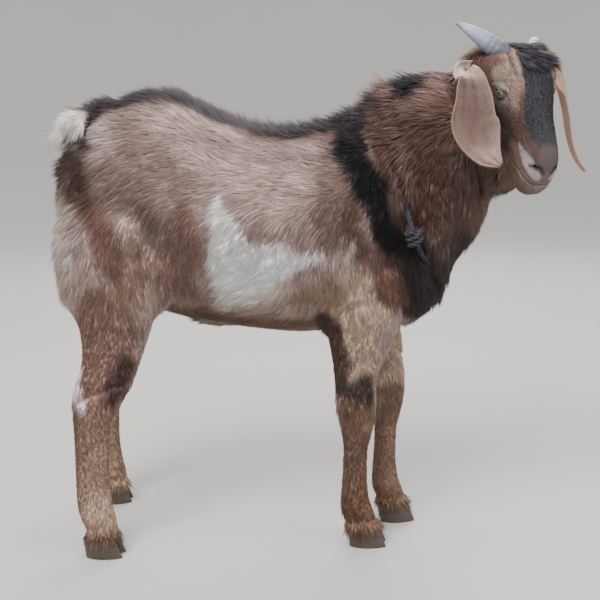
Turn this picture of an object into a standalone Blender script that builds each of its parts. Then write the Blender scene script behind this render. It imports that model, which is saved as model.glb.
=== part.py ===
"""A billy goat, life size and still: it stands square and turns its head to its right.

Metres, +Z up. The goat faces +X, its right side is towards -Y, and its hooves stand on z = 0.
The flesh is lofted from a few named sections, blended into one skin, and parted into the
torso, neck, head, tail and legs by cuts 0.3 mm wide. Horns, ears, eyes and hooves are set in
sockets or under cuts of the same width.
"""
import math
import random

import bmesh
import bpy
from mathutils import Matrix, Vector
from mathutils.bvhtree import BVHTree

GAP = 0.0003
BODY_VOXEL = 0.004
HEAD_VOXEL = 0.0024
BODY_TRIANGLES = 4700
FINE_TRIANGLES = 4000
TESTES_TRIANGLES = 180

# Middle of the goat's outer box, and the height of its soles, in the frame of the tables below
CENTRE_X = 0.0276
CENTRE_Y = 0.0019
SOLE_Z = 0.007

# The head's own directions: ALONG runs from the poll to the nose, OUTWARD to the goat's
# right, BROW up out of the forehead
POLL = Vector((0.310, 0.0, 0.797))
HEAD_SCALE = 1.04
HEAD_YAW = math.radians(68)
HEAD_PITCH = math.radians(45)
HEAD_ROLL = math.radians(-5)
ALONG = Vector((math.cos(HEAD_PITCH) * math.cos(HEAD_YAW),
                -math.cos(HEAD_PITCH) * math.sin(HEAD_YAW), -math.sin(HEAD_PITCH)))
OUTWARD = Matrix.Rotation(-HEAD_ROLL, 3, ALONG) @ Vector((-math.sin(HEAD_YAW), -math.cos(HEAD_YAW), 0.0))
BROW = OUTWARD.cross(ALONG)

# Trunk: x, top, bottom, height of the widest place, half width, upper and lower roundness
TRUNK = (
    (-0.388, 0.622, 0.500, 0.560, 0.034, 2.0, 2.0),
    (-0.372, 0.656, 0.458, 0.570, 0.062, 2.0, 2.0),
    (-0.340, 0.696, 0.430, 0.585, 0.084, 1.9, 2.2),
    (-0.300, 0.731, 0.415, 0.595, 0.098, 1.8, 2.2),
    (-0.250, 0.752, 0.404, 0.585, 0.104, 1.7, 2.2),
    (-0.190, 0.751, 0.388, 0.560, 0.110, 1.7, 2.2),
    (-0.130, 0.722, 0.378, 0.540, 0.120, 1.8, 2.2),
    (-0.070, 0.692, 0.371, 0.525, 0.128, 1.9, 2.2),
    (-0.010, 0.687, 0.366, 0.520, 0.131, 1.9, 2.2),
    (0.050, 0.701, 0.366, 0.520, 0.126, 1.8, 2.2),
    (0.100, 0.722, 0.363, 0.525, 0.112, 1.7, 2.2),
    (0.150, 0.722, 0.366, 0.530, 0.096, 1.8, 2.1),
    (0.195, 0.660, 0.384, 0.520, 0.080, 2.0, 2.0),
    (0.232, 0.560, 0.432, 0.495, 0.046, 2.0, 2.0),
)
# Neck: crest x and z, throat x and z, half width, how far the section's middle stands off
# the middle plane towards +Y, and its turn towards the head
NECK = (
    (0.060, 0.704, 0.150, 0.385, 0.088, 0.000, 0),
    (0.110, 0.724, 0.222, 0.430, 0.087, 0.000, 0),
    (0.150, 0.750, 0.256, 0.490, 0.082, 0.000, 0),
    (0.188, 0.772, 0.286, 0.530, 0.076, 0.000, 4),
    (0.222, 0.784, 0.304, 0.570, 0.070, 0.002, 12),
    (0.254, 0.796, 0.312, 0.596, 0.064, 0.000, 26),
    (0.284, 0.805, 0.318, 0.612, 0.056, -0.004, 42),
)
# Loose skin and hair under the jaw: middle, half lengths, lean
THROAT = ((0.318, -0.040, 0.640), (0.040, 0.040, 0.048), 0)
# Head, in its own directions: distance along from the poll, brow height, jaw depth, height
# of the widest place, half width, upper and lower roundness
HEAD = (
    (-0.034, 0.010, -0.040, -0.010, 0.026, 2.0, 2.0),
    (-0.020, 0.026, -0.058, -0.014, 0.044, 2.0, 2.0),
    (0.000, 0.041, -0.074, -0.012, 0.053, 2.3, 2.0),
    (0.025, 0.057, -0.086, 0.000, 0.058, 2.8, 1.8),
    (0.050, 0.065, -0.092, 0.012, 0.059, 3.1, 1.7),
    (0.075, 0.063, -0.092, 0.016, 0.054, 3.1, 1.6),
    (0.100, 0.055, -0.089, 0.010, 0.045, 2.8, 1.7),
    (0.125, 0.047, -0.090, 0.000, 0.036, 2.5, 1.8),
    (0.150, 0.037, -0.092, -0.010, 0.029, 2.4, 1.9),
    (0.175, 0.026, -0.089, -0.018, 0.026, 2.4, 2.0),
    (0.194, 0.014, -0.081, -0.024, 0.024, 2.4, 2.1),
    (0.207, 0.000, -0.069, -0.030, 0.021, 2.3, 2.2),
    (0.215, -0.016, -0.056, -0.034, 0.013, 2.1, 2.1),
)
# Limbs, on the right side: height, back x, front x, middle y, half width across
HIND_LEG = (
    (0.600, -0.355, -0.235, -0.062, 0.034),
    (0.550, -0.383, -0.205, -0.064, 0.045),
    (0.500, -0.389, -0.196, -0.066, 0.050),
    (0.460, -0.382, -0.203, -0.070, 0.049),
    (0.430, -0.372, -0.216, -0.076, 0.045),
    (0.395, -0.352, -0.231, -0.082, 0.040),
    (0.356, -0.343, -0.245, -0.088, 0.035),
    (0.324, -0.345, -0.256, -0.092, 0.031),
    (0.288, -0.356, -0.270, -0.096, 0.028),
    (0.262, -0.361, -0.283, -0.098, 0.027),
    (0.235, -0.361, -0.298, -0.100, 0.026),
    (0.193, -0.361, -0.304, -0.101, 0.022),
    (0.140, -0.361, -0.306, -0.101, 0.021),
    (0.100, -0.361, -0.304, -0.101, 0.022),
    (0.075, -0.356, -0.300, -0.101, 0.025),
    (0.055, -0.348, -0.297, -0.101, 0.022),
    (0.034, -0.348, -0.293, -0.101, 0.024),
    (0.016, -0.346, -0.290, -0.101, 0.024),
)
FORE_LEG = (
    (0.470, 0.035, 0.150, -0.070, 0.030),
    (0.430, 0.030, 0.165, -0.072, 0.038),
    (0.395, 0.030, 0.166, -0.073, 0.041),
    (0.365, 0.041, 0.154, -0.072, 0.039),
    (0.335, 0.049, 0.140, -0.070, 0.035),
    (0.300, 0.055, 0.127, -0.068, 0.031),
    (0.265, 0.059, 0.123, -0.067, 0.028),
    (0.235, 0.064, 0.122, -0.066, 0.027),
    (0.205, 0.069, 0.118, -0.065, 0.026),
    (0.175, 0.072, 0.112, -0.064, 0.021),
    (0.130, 0.071, 0.111, -0.063, 0.019),
    (0.095, 0.069, 0.114, -0.062, 0.021),
    (0.073, 0.069, 0.120, -0.061, 0.024),
    (0.053, 0.076, 0.127, -0.060, 0.021),
    (0.034, 0.082, 0.136, -0.060, 0.023),
    (0.016, 0.086, 0.140, -0.060, 0.023),
)
# Where the left legs stand, off the mirrored right ones: at the foot, and the heights
# between which the leg takes up the step
FAR_HIND_STEP = Vector((-0.026, 0.022, 0.0))
FAR_FORE_STEP = Vector((0.058, -0.018, 0.0))
STEP_TOP = 0.420
STEP_BOTTOM = 0.270

# Masses under the skin: middle, half lengths, lean back about Y in degrees
SHOULDER = ((0.120, -0.056, 0.560), (0.060, 0.040, 0.132), 22)
UPPER_ARM = ((0.112, -0.074, 0.450), (0.060, 0.034, 0.062), 0)
HIP = ((-0.290, -0.058, 0.615), (0.070, 0.036, 0.070), 0)
STIFLE = ((-0.226, -0.080, 0.462), (0.036, 0.028, 0.062), -14)

# Tail: x, z, half width, half thickness
TAIL = (
    (-0.285, 0.732, 0.018, 0.013),
    (-0.318, 0.725, 0.020, 0.013),
    (-0.342, 0.713, 0.024, 0.014),
    (-0.364, 0.701, 0.029, 0.015),
    (-0.384, 0.689, 0.029, 0.014),
    (-0.400, 0.678, 0.021, 0.010),
    (-0.409, 0.671, 0.009, 0.005),
)
TESTES_TOP = Vector((-0.292, 0.0, 0.430))
TESTES_LOW = Vector((-0.300, 0.0, 0.345))
TESTIS_RADIUS = 0.025
SHEATH = ((-0.120, 0.0, 0.383), (0.060, 0.014, 0.014), 0)

EYE_PLACE = (0.093, 0.027, 0.035)
EYE_RADIUS = 0.0135
LID_LENGTH = 0.0115
LID_HEIGHT = 0.0062
NOSTRIL = ((0.214, -0.016, 0.0075), (0.210, -0.010, 0.0125), (0.203, -0.010, 0.0175),
           (0.197, -0.015, 0.0200))
NOSTRIL_RADII = (0.0016, 0.0026, 0.0026, 0.0014)
MOUTH = ((0.158, -0.044), (0.170, -0.0405), (0.185, -0.0385), (0.200, -0.0385), (0.212, -0.0390),
         (0.224, -0.0395))
MOUTH_DEPTH = 0.0045
MOUTH_WIDTH = 0.0022
MOUTH_EDGE = 0.0002
MOUTH_CLEAR = 0.004

# Horns, from their base: along, brow and outward steps; the left one lies flatter and further back
NEAR_HORN = ((0.0, 0.0, 0.0), (-0.013, 0.004, 0.012), (-0.027, 0.008, 0.026), (-0.040, 0.012, 0.042),
             (-0.053, 0.015, 0.059))
FAR_HORN = ((0.0, 0.0, 0.0), (-0.016, -0.002, 0.010), (-0.031, -0.009, 0.020), (-0.044, -0.019, 0.030),
            (-0.055, -0.032, 0.039))
HORN_BASE = (0.040, 0.051, 0.026)
# How far a horn's root runs on into the head: in its own first steps, and inward
HORN_SUNK = (0.8, 0.010)
HORN_RADII = (0.0162, 0.0156, 0.0134, 0.0088, 0.0026)
FAR_HORN_SLIM = 0.74

# Ears: how deep the root starts in the head and where it leaves it, in the head's directions
EAR_ROOT = ((0.018, 0.004, 0.040), (0.018, 0.003, 0.064))
EAR_ROOT_HALF = (0.0120, 0.0140)
# How far an ear stands out where it bends down
EAR_BEND = 0.007
# Ears beyond their root, down to the tip: x, y, z of the middle line and half width
NEAR_EAR = (
    (0.2550, -0.094, 0.7680, 0.0200),
    (0.2560, -0.108, 0.7500, 0.0250),
    (0.2565, -0.116, 0.7300, 0.0300),
    (0.2560, -0.121, 0.7070, 0.0350),
    (0.2610, -0.126, 0.6880, 0.0350),
    (0.2680, -0.130, 0.6720, 0.0310),
    (0.2770, -0.133, 0.6580, 0.0230),
    (0.2870, -0.135, 0.6480, 0.0135),
    (0.2960, -0.136, 0.6400, 0.0045),
)
FAR_EAR = (
    (0.4020, 0.012, 0.7800, 0.0205),
    (0.4190, 0.026, 0.7640, 0.0250),
    (0.4290, 0.034, 0.7420, 0.0310),
    (0.4360, 0.038, 0.7170, 0.0375),
    (0.4400, 0.038, 0.6920, 0.0385),
    (0.4450, 0.036, 0.6680, 0.0350),
    (0.4520, 0.032, 0.6480, 0.0260),
    (0.4605, 0.027, 0.6330, 0.0150),
    (0.4680, 0.023, 0.6240, 0.0060),
)
EAR_ACROSS = 6
EAR_THICK = 0.0032
EAR_RIM = 0.0014
EAR_CUP = 0.011
EAR_SOCKET = 0.0005
NEAR_EAR_FACES = Vector((0.15, -1.0, 0.05)).normalized()
FAR_EAR_FACES = Vector((0.97, -0.22, 0.0)).normalized()

# Cuts between the nodes: a point on each and the direction that it faces
NECK_CUT = (Vector((0.152, 0.0, 0.600)), Vector((0.78, 0.0, 0.62)).normalized())
POLL_CUT = (POLL - (ALONG * 0.034 - BROW * 0.020) * HEAD_SCALE,
            Vector((0.638, -0.716, -0.283)).normalized())
CHEEK_CUT = (Vector((0.232, -0.060, 0.690)), Vector((0.95, -0.30, 0.34)).normalized())
JAW_CUT = (POLL + (ALONG * 0.120 - BROW * 0.104) * HEAD_SCALE,
           (BROW * 0.983 - ALONG * 0.184).normalized())
FACE_CUTS = (POLL_CUT, CHEEK_CUT, JAW_CUT)
TAIL_CUT = (Vector((-0.324, 0.0, 0.722)), Vector((-0.90, 0.0, -0.43)).normalized())
TAIL_UNDER = (Vector((-0.335, 0.0, 0.694)), Vector((-0.43, 0.0, 0.90)).normalized())
HIND_CUT = (Vector((-0.300, 0.0, 0.400)), Vector((0.0, -0.57, -0.82)).normalized())
FORE_CUT = (Vector((0.100, 0.0, 0.372)), Vector((0.0, -0.30, -0.95)).normalized())
HIND_CORNERS = ((-0.44, -0.22), (-0.15, -0.010))
FORE_CORNERS = ((0.00, -0.20), (0.27, -0.022))
CORONET = 0.038
CLAW_TOP = (0.0275, 0.0225)
CLAW_SOLE = (0.0325, 0.0215)
CLAW_SLOPE = 0.0075
CLAW_SIDES = 14
CLEFT = 0.0008
FEET = {"fore_right": (0.112, -0.060), "fore_left": (0.170, 0.042),
        "hind_right": (-0.319, -0.101), "hind_left": (-0.345, 0.123)}

ROPE_RADIUS = 0.0042
# Collar on the right side, from the crest down and forward: x and z, and whether it is
# found from the side, from above or from the front
COLLAR = ((0.142, 0.760, "top"), (0.147, 0.705, "side"), (0.155, 0.645, "side"), (0.161, 0.590, "side"),
          (0.168, 0.530, "side"), (0.200, 0.482, "side"), (0.226, 0.464, "side"), (0.260, 0.456, "front"))
KNOT_AT = 4
ROPE_STEPS = 4
ROPE_STANDS = 0.0018
KNOT_STANDS = 0.0200
KNOT_TURNS = 2.4
KNOT_PITCH = 0.0088
KNOT_END = 0.022

# Locks of the long coat. A lock's stations along its length, how wide it is there, and how far
# it stands off the skin as a share of its lift; its root is sunk in the flesh
LOCK_STATIONS = (0.0, 0.36, 0.72, 1.0)
LOCK_WIDTHS = (0.62, 1.0, 0.72, 0.0)
LOCK_LIFTS = (0.0, 0.10, 0.60, 1.0)
LOCK_SUNK = 0.008
LOCK_THICK = 0.0032
LOCK_CLEAR = 0.0010
LOCK_SWAY = 0.22
LOCK_SEED = 11
PROBES = {"above": Vector((0, 0, -1)), "side": Vector((0, 1, 0)), "front": Vector((-1, 0, 0)),
          "behind": Vector((1, 0, 0)), "below": Vector((0, 0, 1))}
# Rows of locks: node, where the row is probed from, its first and last root, how many, how far
# they step to either side, lie, length, half width, lift, and whether the left side has them too
LOCK_ROWS = (
    ("torso", "above", (-0.296, 0, 0.9), (0.040, 0, 0.9), 17, 0.010, (-0.97, 0, 0.10), 0.054,
     0.0110, 0.011, False),
    ("torso", "above", (0.060, 0, 0.9), (0.122, 0, 0.9), 4, 0.012, (-0.95, 0, 0.10), 0.052, 0.0120,
     0.013, False),
    ("neck", "above", (0.172, 0, 0.9), (0.262, 0, 0.9), 6, 0.012, (-0.80, 0, -0.30), 0.040, 0.0120,
     0.012, False),
    ("neck", "side", (0.232, -0.3, 0.742), (0.262, -0.3, 0.700), 2, 0.008, (-0.85, 0, -0.50),
     0.046, 0.0130, 0.008, True),
    ("neck", "side", (0.205, -0.3, 0.690), (0.262, -0.3, 0.590), 4, 0.010, (-0.35, 0, -0.90),
     0.050, 0.0130, 0.009, True),
    ("neck", "front", (0.5, 0, 0.582), (0.5, 0, 0.525), 4, 0.016, (-0.10, 0, -1.0), 0.048, 0.0125,
     0.010, False),
    ("torso", "front", (0.5, -0.022, 0.452), (0.5, -0.022, 0.400), 3, 0.008, (-0.30, 0, -1.0),
     0.044, 0.0130, 0.010, True),
    ("torso", "behind", (-0.6, -0.052, 0.640), (-0.6, -0.056, 0.500), 5, 0.007, (0.10, 0, -1.0),
     0.048, 0.0120, 0.009, True),
    ("tail", "above", (-0.352, -0.021, 0.9), (-0.386, -0.021, 0.9), 2, 0.004,
     (-0.75, -0.65, -0.35), 0.044, 0.0100, 0.004, True),
    ("tail", "below", (-0.362, 0, 0.6), (-0.398, 0, 0.6), 3, 0.009, (-0.80, 0, -0.55), 0.038,
     0.0100, 0.006, False),
)


def head_point(along, brow, out):
    """A place given in the head's own directions, out being positive on the goat's right."""
    return POLL + (ALONG * along + BROW * brow + OUTWARD * out) * HEAD_SCALE


def material(name, colour, roughness):
    """A Principled material of one colour."""
    finish = bpy.data.materials.new(name)
    finish.use_nodes = True
    shader = finish.node_tree.nodes["Principled BSDF"]
    shader.inputs["Base Color"].default_value = (*colour, 1.0)
    shader.inputs["Roughness"].default_value = roughness
    finish.diffuse_color = (*colour, 1.0)
    return finish


def new_object(name, mesh):
    """A mesh object in the scene."""
    made = bpy.data.objects.new(name, mesh)
    bpy.context.scene.collection.objects.link(made)
    return made


def object_from(bm, name):
    """The mesh of bm as an object, with its faces turned outwards."""
    bmesh.ops.recalc_face_normals(bm, faces=bm.faces)
    if bm.calc_volume(signed=True) < 0:
        bmesh.ops.reverse_faces(bm, faces=bm.faces)
    mesh = bpy.data.meshes.new(name)
    bm.to_mesh(mesh)
    bm.free()
    return new_object(name, mesh)


def apply_modifiers(body):
    """Replaces an object's mesh by the one that its modifiers make."""
    depsgraph = bpy.context.evaluated_depsgraph_get()
    done = bpy.data.meshes.new_from_object(body.evaluated_get(depsgraph))
    old = body.data
    body.modifiers.clear()
    body.data = done
    bpy.data.meshes.remove(old)


def remove(*bodies):
    """Takes helper objects out of the scene, with their meshes."""
    for body in bodies:
        mesh = body.data
        bpy.data.objects.remove(body)
        bpy.data.meshes.remove(mesh)


def smooth_rows(rows, steps):
    """Rows of numbers with more between them, on a smooth curve through all of them."""
    dense = []
    for i in range(len(rows) - 1):
        before = rows[max(i - 1, 0)]
        start = rows[i]
        end = rows[i + 1]
        after = rows[min(i + 2, len(rows) - 1)]
        for k in range(steps):
            t = k / steps
            dense.append(tuple(
                0.5 * (2 * b + (c - a) * t + (2 * a - 5 * b + 4 * c - d) * t * t
                       + (3 * b - a - 3 * c + d) * t ** 3)
                for a, b, c, d in zip(before, start, end, after)))
    dense.append(tuple(rows[-1]))
    return dense


def oval(middle, up, side, top, low, half, round_top, round_low, count):
    """One section: top and low are its reaches along up from its widest place."""
    points = []
    for i in range(count):
        angle = 2 * math.pi * i / count
        c = math.cos(angle)
        s = math.sin(angle)
        reach = top if s > 0 else low
        power = 2 / (round_top if s > 0 else round_low)
        rise = math.copysign(abs(s) ** power, s) * reach
        spread = math.copysign(abs(c) ** power, c) * half
        points.append(middle + up * rise + side * spread)
    return points


def loft(name, rings):
    """A closed body through rings of equal count, its ends closed by fans."""
    bm = bmesh.new()
    rows = [[bm.verts.new(p) for p in ring] for ring in rings]
    count = len(rows[0])
    for low, high in zip(rows, rows[1:]):
        for i in range(count):
            j = (i + 1) % count
            bm.faces.new((low[i], low[j], high[j], high[i]))
    for row in (rows[0], rows[-1]):
        tip = bm.verts.new(sum((v.co for v in row), Vector()) / count)
        for i in range(count):
            bm.faces.new((row[i], row[(i + 1) % count], tip))
    return object_from(bm, name)


def tube(name, points, radii, count=12, flat=1.0, side=None):
    """A round or flattened body along a path, with rounded ends."""
    rings = []
    reach = len(points) - 1
    across = None
    for i, (point, radius) in enumerate(zip(points, radii)):
        tangent = (points[min(i + 1, reach)] - points[max(i - 1, 0)]).normalized()
        if side is not None:
            across = side
        elif across is None:
            across = tangent.orthogonal()
        across = (across - tangent * across.dot(tangent)).normalized()
        up = tangent.cross(across)
        rings.append(oval(point, up, across, radius * flat, radius * flat, radius, 2, 2, count))
    return loft(name, rings)


def mass(name, middle, halves, lean, mirror=False):
    """An ellipsoid, leaning back about the Y axis."""
    bm = bmesh.new()
    bmesh.ops.create_icosphere(bm, subdivisions=3, radius=1.0)
    side = -1 if mirror else 1
    place = (Matrix.Translation((middle[0], middle[1] * side, middle[2]))
             @ Matrix.Rotation(math.radians(-lean), 4, "Y")
             @ Matrix.Diagonal((*halves, 1.0)))
    bm.transform(place)
    return object_from(bm, name)


def step_of(height, step):
    """How far a left leg stands off the mirrored right one at a height."""
    t = min(max((STEP_TOP - height) / (STEP_TOP - STEP_BOTTOM), 0.0), 1.0)
    return step * (t * t * (3 - 2 * t))


def limb(name, rows, mirror=False, step=None):
    """A leg from level sections; the left one is mirrored and stepped."""
    rings = []
    for height, back, front, middle, half in smooth_rows(rows, 3):
        place = Vector(((back + front) / 2, middle, height))
        if mirror:
            place.y = -place.y
            place += step_of(height, step)
        reach = (front - back) / 2
        rings.append(oval(place, Vector((1, 0, 0)), Vector((0, 1, 0)), reach, reach, half, 2.2, 2.2, 24))
    return loft(name, rings)


def trunk_parts():
    """The lofts and masses that make the torso."""
    rings = []
    for x, top, low, wide, half, round_top, round_low in smooth_rows(TRUNK, 3):
        rings.append(oval(Vector((x, 0, wide)), Vector((0, 0, 1)), Vector((0, 1, 0)),
                          top - wide, wide - low, half, round_top, round_low, 40))
    parts = [loft("trunk", rings)]
    for name, form in (("shoulder", SHOULDER), ("upper_arm", UPPER_ARM), ("hip", HIP), ("stifle", STIFLE)):
        parts.append(mass(name + "_right", *form))
        parts.append(mass(name + "_left", *form, mirror=True))
    parts.append(mass("sheath", *SHEATH))
    return parts


def testes_part():
    """The scrotum, hanging between the thighs."""
    parts = []
    for side in (-1, 1):
        drop = Vector((0, side * TESTIS_RADIUS * 0.60, 0))
        path = [TESTES_TOP + drop * 0.3, TESTES_TOP.lerp(TESTES_LOW, 0.5) + drop * 0.7,
                TESTES_LOW + drop, TESTES_LOW + drop - Vector((0, 0, TESTIS_RADIUS * 0.8))]
        radii = [TESTIS_RADIUS * k for k in (0.62, 0.78, 0.92, 0.58)]
        parts.append(tube("testis", path, radii, 16))
    return blend(join("testes", parts), BODY_VOXEL, 3, TESTES_TRIANGLES)


def neck_part():
    """The neck, from inside the trunk to the back of the skull."""
    rings = []
    for crest_x, crest_z, throat_x, throat_z, half, off, turn in smooth_rows(NECK, 4):
        crest = Vector((crest_x, off, crest_z))
        throat = Vector((throat_x, off, throat_z))
        up = (crest - throat).normalized()
        side = Matrix.Rotation(math.radians(-turn), 3, "Z") @ Vector((0, 1, 0))
        reach = (crest - throat).length / 2
        middle = crest.lerp(throat, 0.54)
        rings.append(oval(middle, up, side, reach * 1.08, reach * 0.92, half, 1.9, 2.1, 36))
    return loft("neck", rings)


def tail_part(name):
    """The tail, flat and wide, carried back and a little down."""
    rows = smooth_rows(TAIL, 3)
    points = [Vector((x, 0.0, z)) for x, z, half, thick in rows]
    rings = []
    for i, (x, z, half, thick) in enumerate(rows):
        tangent = (points[min(i + 1, len(rows) - 1)] - points[max(i - 1, 0)]).normalized()
        side = Vector((0, 1, 0))
        rings.append(oval(points[i], side.cross(tangent), side, thick, thick, half, 2, 2, 20))
    return loft(name, rings)


def skull_part():
    """The head, from the poll to the muzzle, with its jaw."""
    rings = []
    for along, brow, jaw, wide, half, round_top, round_low in smooth_rows(HEAD, 4):
        rings.append(oval(head_point(along, wide, 0), BROW, OUTWARD, (brow - wide) * HEAD_SCALE,
                          (wide - jaw) * HEAD_SCALE, half * HEAD_SCALE, round_top, round_low, 36))
    return loft("skull", rings)


def join(name, parts):
    """Several objects as one mesh that may hold overlapping bodies."""
    bm = bmesh.new()
    for part in parts:
        bm.from_mesh(part.data)
    remove(*parts)
    mesh = bpy.data.meshes.new(name)
    bm.to_mesh(mesh)
    bm.free()
    return new_object(name, mesh)


def blend(body, voxel, rounds, triangles):
    """Makes one smooth skin of overlapping bodies, with about so many triangles."""
    remesh = body.modifiers.new("skin", "REMESH")
    remesh.mode = "VOXEL"
    remesh.voxel_size = voxel
    relax = body.modifiers.new("relax", "SMOOTH")
    relax.factor = 0.5
    relax.iterations = rounds
    apply_modifiers(body)
    faces = sum(len(p.vertices) - 2 for p in body.data.polygons)
    thin = body.modifiers.new("thin", "DECIMATE")
    thin.ratio = triangles / faces
    apply_modifiers(body)
    return largest(body)


def largest(body):
    """Keeps an object's largest closed surface, as triangles."""
    bm = bmesh.new()
    bm.from_mesh(body.data)
    bmesh.ops.triangulate(bm, faces=bm.faces)
    left = set(bm.verts)
    shells = []
    while left:
        seed = left.pop()
        shell = [seed]
        stack = [seed]
        while stack:
            for edge in stack.pop().link_edges:
                for vert in edge.verts:
                    if vert in left:
                        left.discard(vert)
                        shell.append(vert)
                        stack.append(vert)
        shells.append(shell)
    shells.sort(key=len)
    for shell in shells[:-1]:
        bmesh.ops.delete(bm, geom=shell, context="VERTS")
    bm.to_mesh(body.data)
    bm.free()
    return body


def boolean(body, other, operation):
    """One applied Boolean between two objects; the second is then removed."""
    cut = body.modifiers.new("cut", "BOOLEAN")
    cut.operation = operation
    cut.object = other
    apply_modifiers(body)
    remove(other)
    return largest(body)


def half_space(name, cut, offset, reach=0.6, flip=False):
    """A block whose near face lies on a cut, moved along it by an offset."""
    point, normal = cut
    facing = -normal if flip else normal
    bm = bmesh.new()
    bmesh.ops.create_cube(bm, size=1.0)
    turn = facing.to_track_quat("Z", "Y").to_matrix().to_4x4()
    place = Matrix.Translation(point + normal * offset + facing * (reach / 2))
    bm.transform(place @ turn @ Matrix.Diagonal((reach * 2, reach * 2, reach, 1.0)))
    return object_from(bm, name)


def copy_of(body, name):
    """A second object with its own copy of a mesh."""
    return new_object(name, body.data.copy())


def block(name, cuts, offset):
    """The convex block in front of every one of some cuts, each moved along itself by an offset."""
    made = half_space(name, cuts[0], offset)
    for other in cuts[1:]:
        made = boolean(made, half_space("side", other, offset), "INTERSECT")
    return made


def leg_block(name, cut, low, high, offset):
    """The block under a leg's cut, between two corners seen from above."""
    sides = ((Vector((low[0], 0, 0)), Vector((1, 0, 0))), (Vector((high[0], 0, 0)), Vector((-1, 0, 0))),
             (Vector((0, low[1], 0)), Vector((0, 1, 0))), (Vector((0, high[1], 0)), Vector((0, -1, 0))))
    return block(name, (cut, *sides), offset)


def mirrored(cut):
    """The same cut on the goat's left."""
    point, normal = cut
    return Vector((point.x, -point.y, point.z)), Vector((normal.x, -normal.y, normal.z))


def surface_of(*bodies):
    """A search tree over some objects' faces, for setting things on them."""
    bm = bmesh.new()
    for body in bodies:
        bm.from_mesh(body.data)
    tree = BVHTree.FromBMesh(bm)
    bm.free()
    return tree


def ear_part(name, side, leaf, facing, grow):
    """A long drooping leaf, hollow towards its facing side, thin at its rim, round at its root."""
    rows = [(*head_point(a, b, c * side), half) for (a, b, c), half in zip(EAR_ROOT, EAR_ROOT_HALF)]
    bend = (Vector(rows[-1][:3]) + Vector(leaf[0][:3])) / 2 + OUTWARD * (side * EAR_BEND)
    rows.append((*bend, (rows[-1][3] + leaf[0][3]) / 2))
    rows.extend(leaf)
    across = EAR_ACROSS
    count = len(rows)
    points = [Vector(row[:3]) for row in rows]
    points[0] -= (points[1] - points[0]).normalized() * grow
    rings = []
    for i, row in enumerate(rows):
        tangent = (points[min(i + 1, count - 1)] - points[max(i - 1, 0)]).normalized()
        side = tangent.cross(facing).normalized()
        front = side.cross(tangent).normalized()
        along = i / (count - 1)
        roll = max(0.0, 1.0 - along / 0.36)
        half = row[3] + grow
        front_row = []
        back_row = []
        for k in range(across + 1):
            v = 2 * k / across - 1
            edge = 1 - v * v
            cup = EAR_CUP * math.sin(math.pi * min(1.0, 0.12 + along)) * (v * v - 0.45)
            thick = EAR_RIM + (EAR_THICK - EAR_RIM) * edge + 2 * grow
            flat = points[i] + side * (v * half) + front * cup
            round_rise = half * 0.85 * math.sqrt(max(edge, 0.0))
            front_row.append(flat + front * (thick / 2 * (1 - roll) + roll * round_rise))
            back_row.append(flat - front * (thick / 2 * (1 - roll) + roll * round_rise))
        rings.append(front_row + back_row[::-1])
    bm = bmesh.new()
    grid = [[bm.verts.new(p) for p in ring] for ring in rings]
    total = len(grid[0])
    for low, high in zip(grid, grid[1:]):
        for k in range(total):
            j = (k + 1) % total
            bm.faces.new((low[k], low[j], high[j]))
            bm.faces.new((low[k], high[j], high[k]))
    for row in (grid[0], grid[-1]):
        for k in range(across):
            bm.faces.new((row[k], row[k + 1], row[total - 2 - k], row[total - 1 - k]))
    bmesh.ops.remove_doubles(bm, verts=bm.verts, dist=0.00005)
    return object_from(bm, name)


def in_triangles(body):
    """Splits an object's faces the same way at any size, so that a socket fits what it holds."""
    bm = bmesh.new()
    bm.from_mesh(body.data)
    bmesh.ops.triangulate(bm, faces=bm.faces, quad_method="FIXED")
    bm.to_mesh(body.data)
    bm.free()
    return body


def horn_part(name, path, side, grow):
    """A tapering horn with blunt rings round its lower half, its root sunk in the head."""
    along, brow, out = HORN_BASE
    back = Vector(HORN_BASE) - Vector(path[1]) * HORN_SUNK[0] - Vector((0.0, HORN_SUNK[1], 0.0))
    points = [head_point(back.x, back.y, back.z * side)]
    slim = 1.0 if side > 0 else FAR_HORN_SLIM
    radii = [HORN_RADII[0] * slim + grow]
    for row in smooth_rows([(*p, r * slim) for p, r in zip(path, HORN_RADII)], 2):
        points.append(head_point(along + row[0], brow + row[1], (out + row[2]) * side))
        radii.append(row[3] + grow)
    points[0] -= (points[1] - points[0]).normalized() * grow
    return in_triangles(tube(name, points, radii, 10, 0.86, OUTWARD))


def eye_place(side):
    """The middle of an eyeball."""
    along, brow, out = EYE_PLACE
    return head_point(along, brow, out * side)


def eye_gaze(side):
    """The way an eye looks: outward, a little forward and level."""
    return (OUTWARD * side * 0.93 + ALONG * 0.30 + BROW * 0.16).normalized()


def eye_part(name, side, grow):
    """An eyeball."""
    bm = bmesh.new()
    bmesh.ops.create_uvsphere(bm, u_segments=14, v_segments=9, radius=EYE_RADIUS + grow)
    turn = eye_gaze(side).to_track_quat("Z", "Y").to_matrix().to_4x4()
    bm.transform(Matrix.Translation(eye_place(side)) @ turn)
    return object_from(bm, name)


def lid_opening(name, side):
    """The almond between the lids, as a wedge from the eyeball outwards."""
    gaze = eye_gaze(side)
    long_way = (ALONG - gaze * ALONG.dot(gaze)).normalized()
    up = gaze.cross(long_way)
    if up.dot(BROW) < 0:
        up = -up
    rings = []
    for depth, size in ((0.0, 0.75), (EYE_RADIUS * 1.02, 1.0), (EYE_RADIUS + 0.014, 1.25)):
        ring = []
        for i in range(16):
            angle = 2 * math.pi * i / 16
            c = math.cos(angle)
            s = math.sin(angle)
            width = LID_LENGTH * c
            lift = LID_HEIGHT * s * (1 - 0.35 * abs(c) ** 2)
            ring.append(eye_place(side) + gaze * depth + (long_way * width + up * lift) * size)
        rings.append(ring)
    return loft(name, rings)


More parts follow.
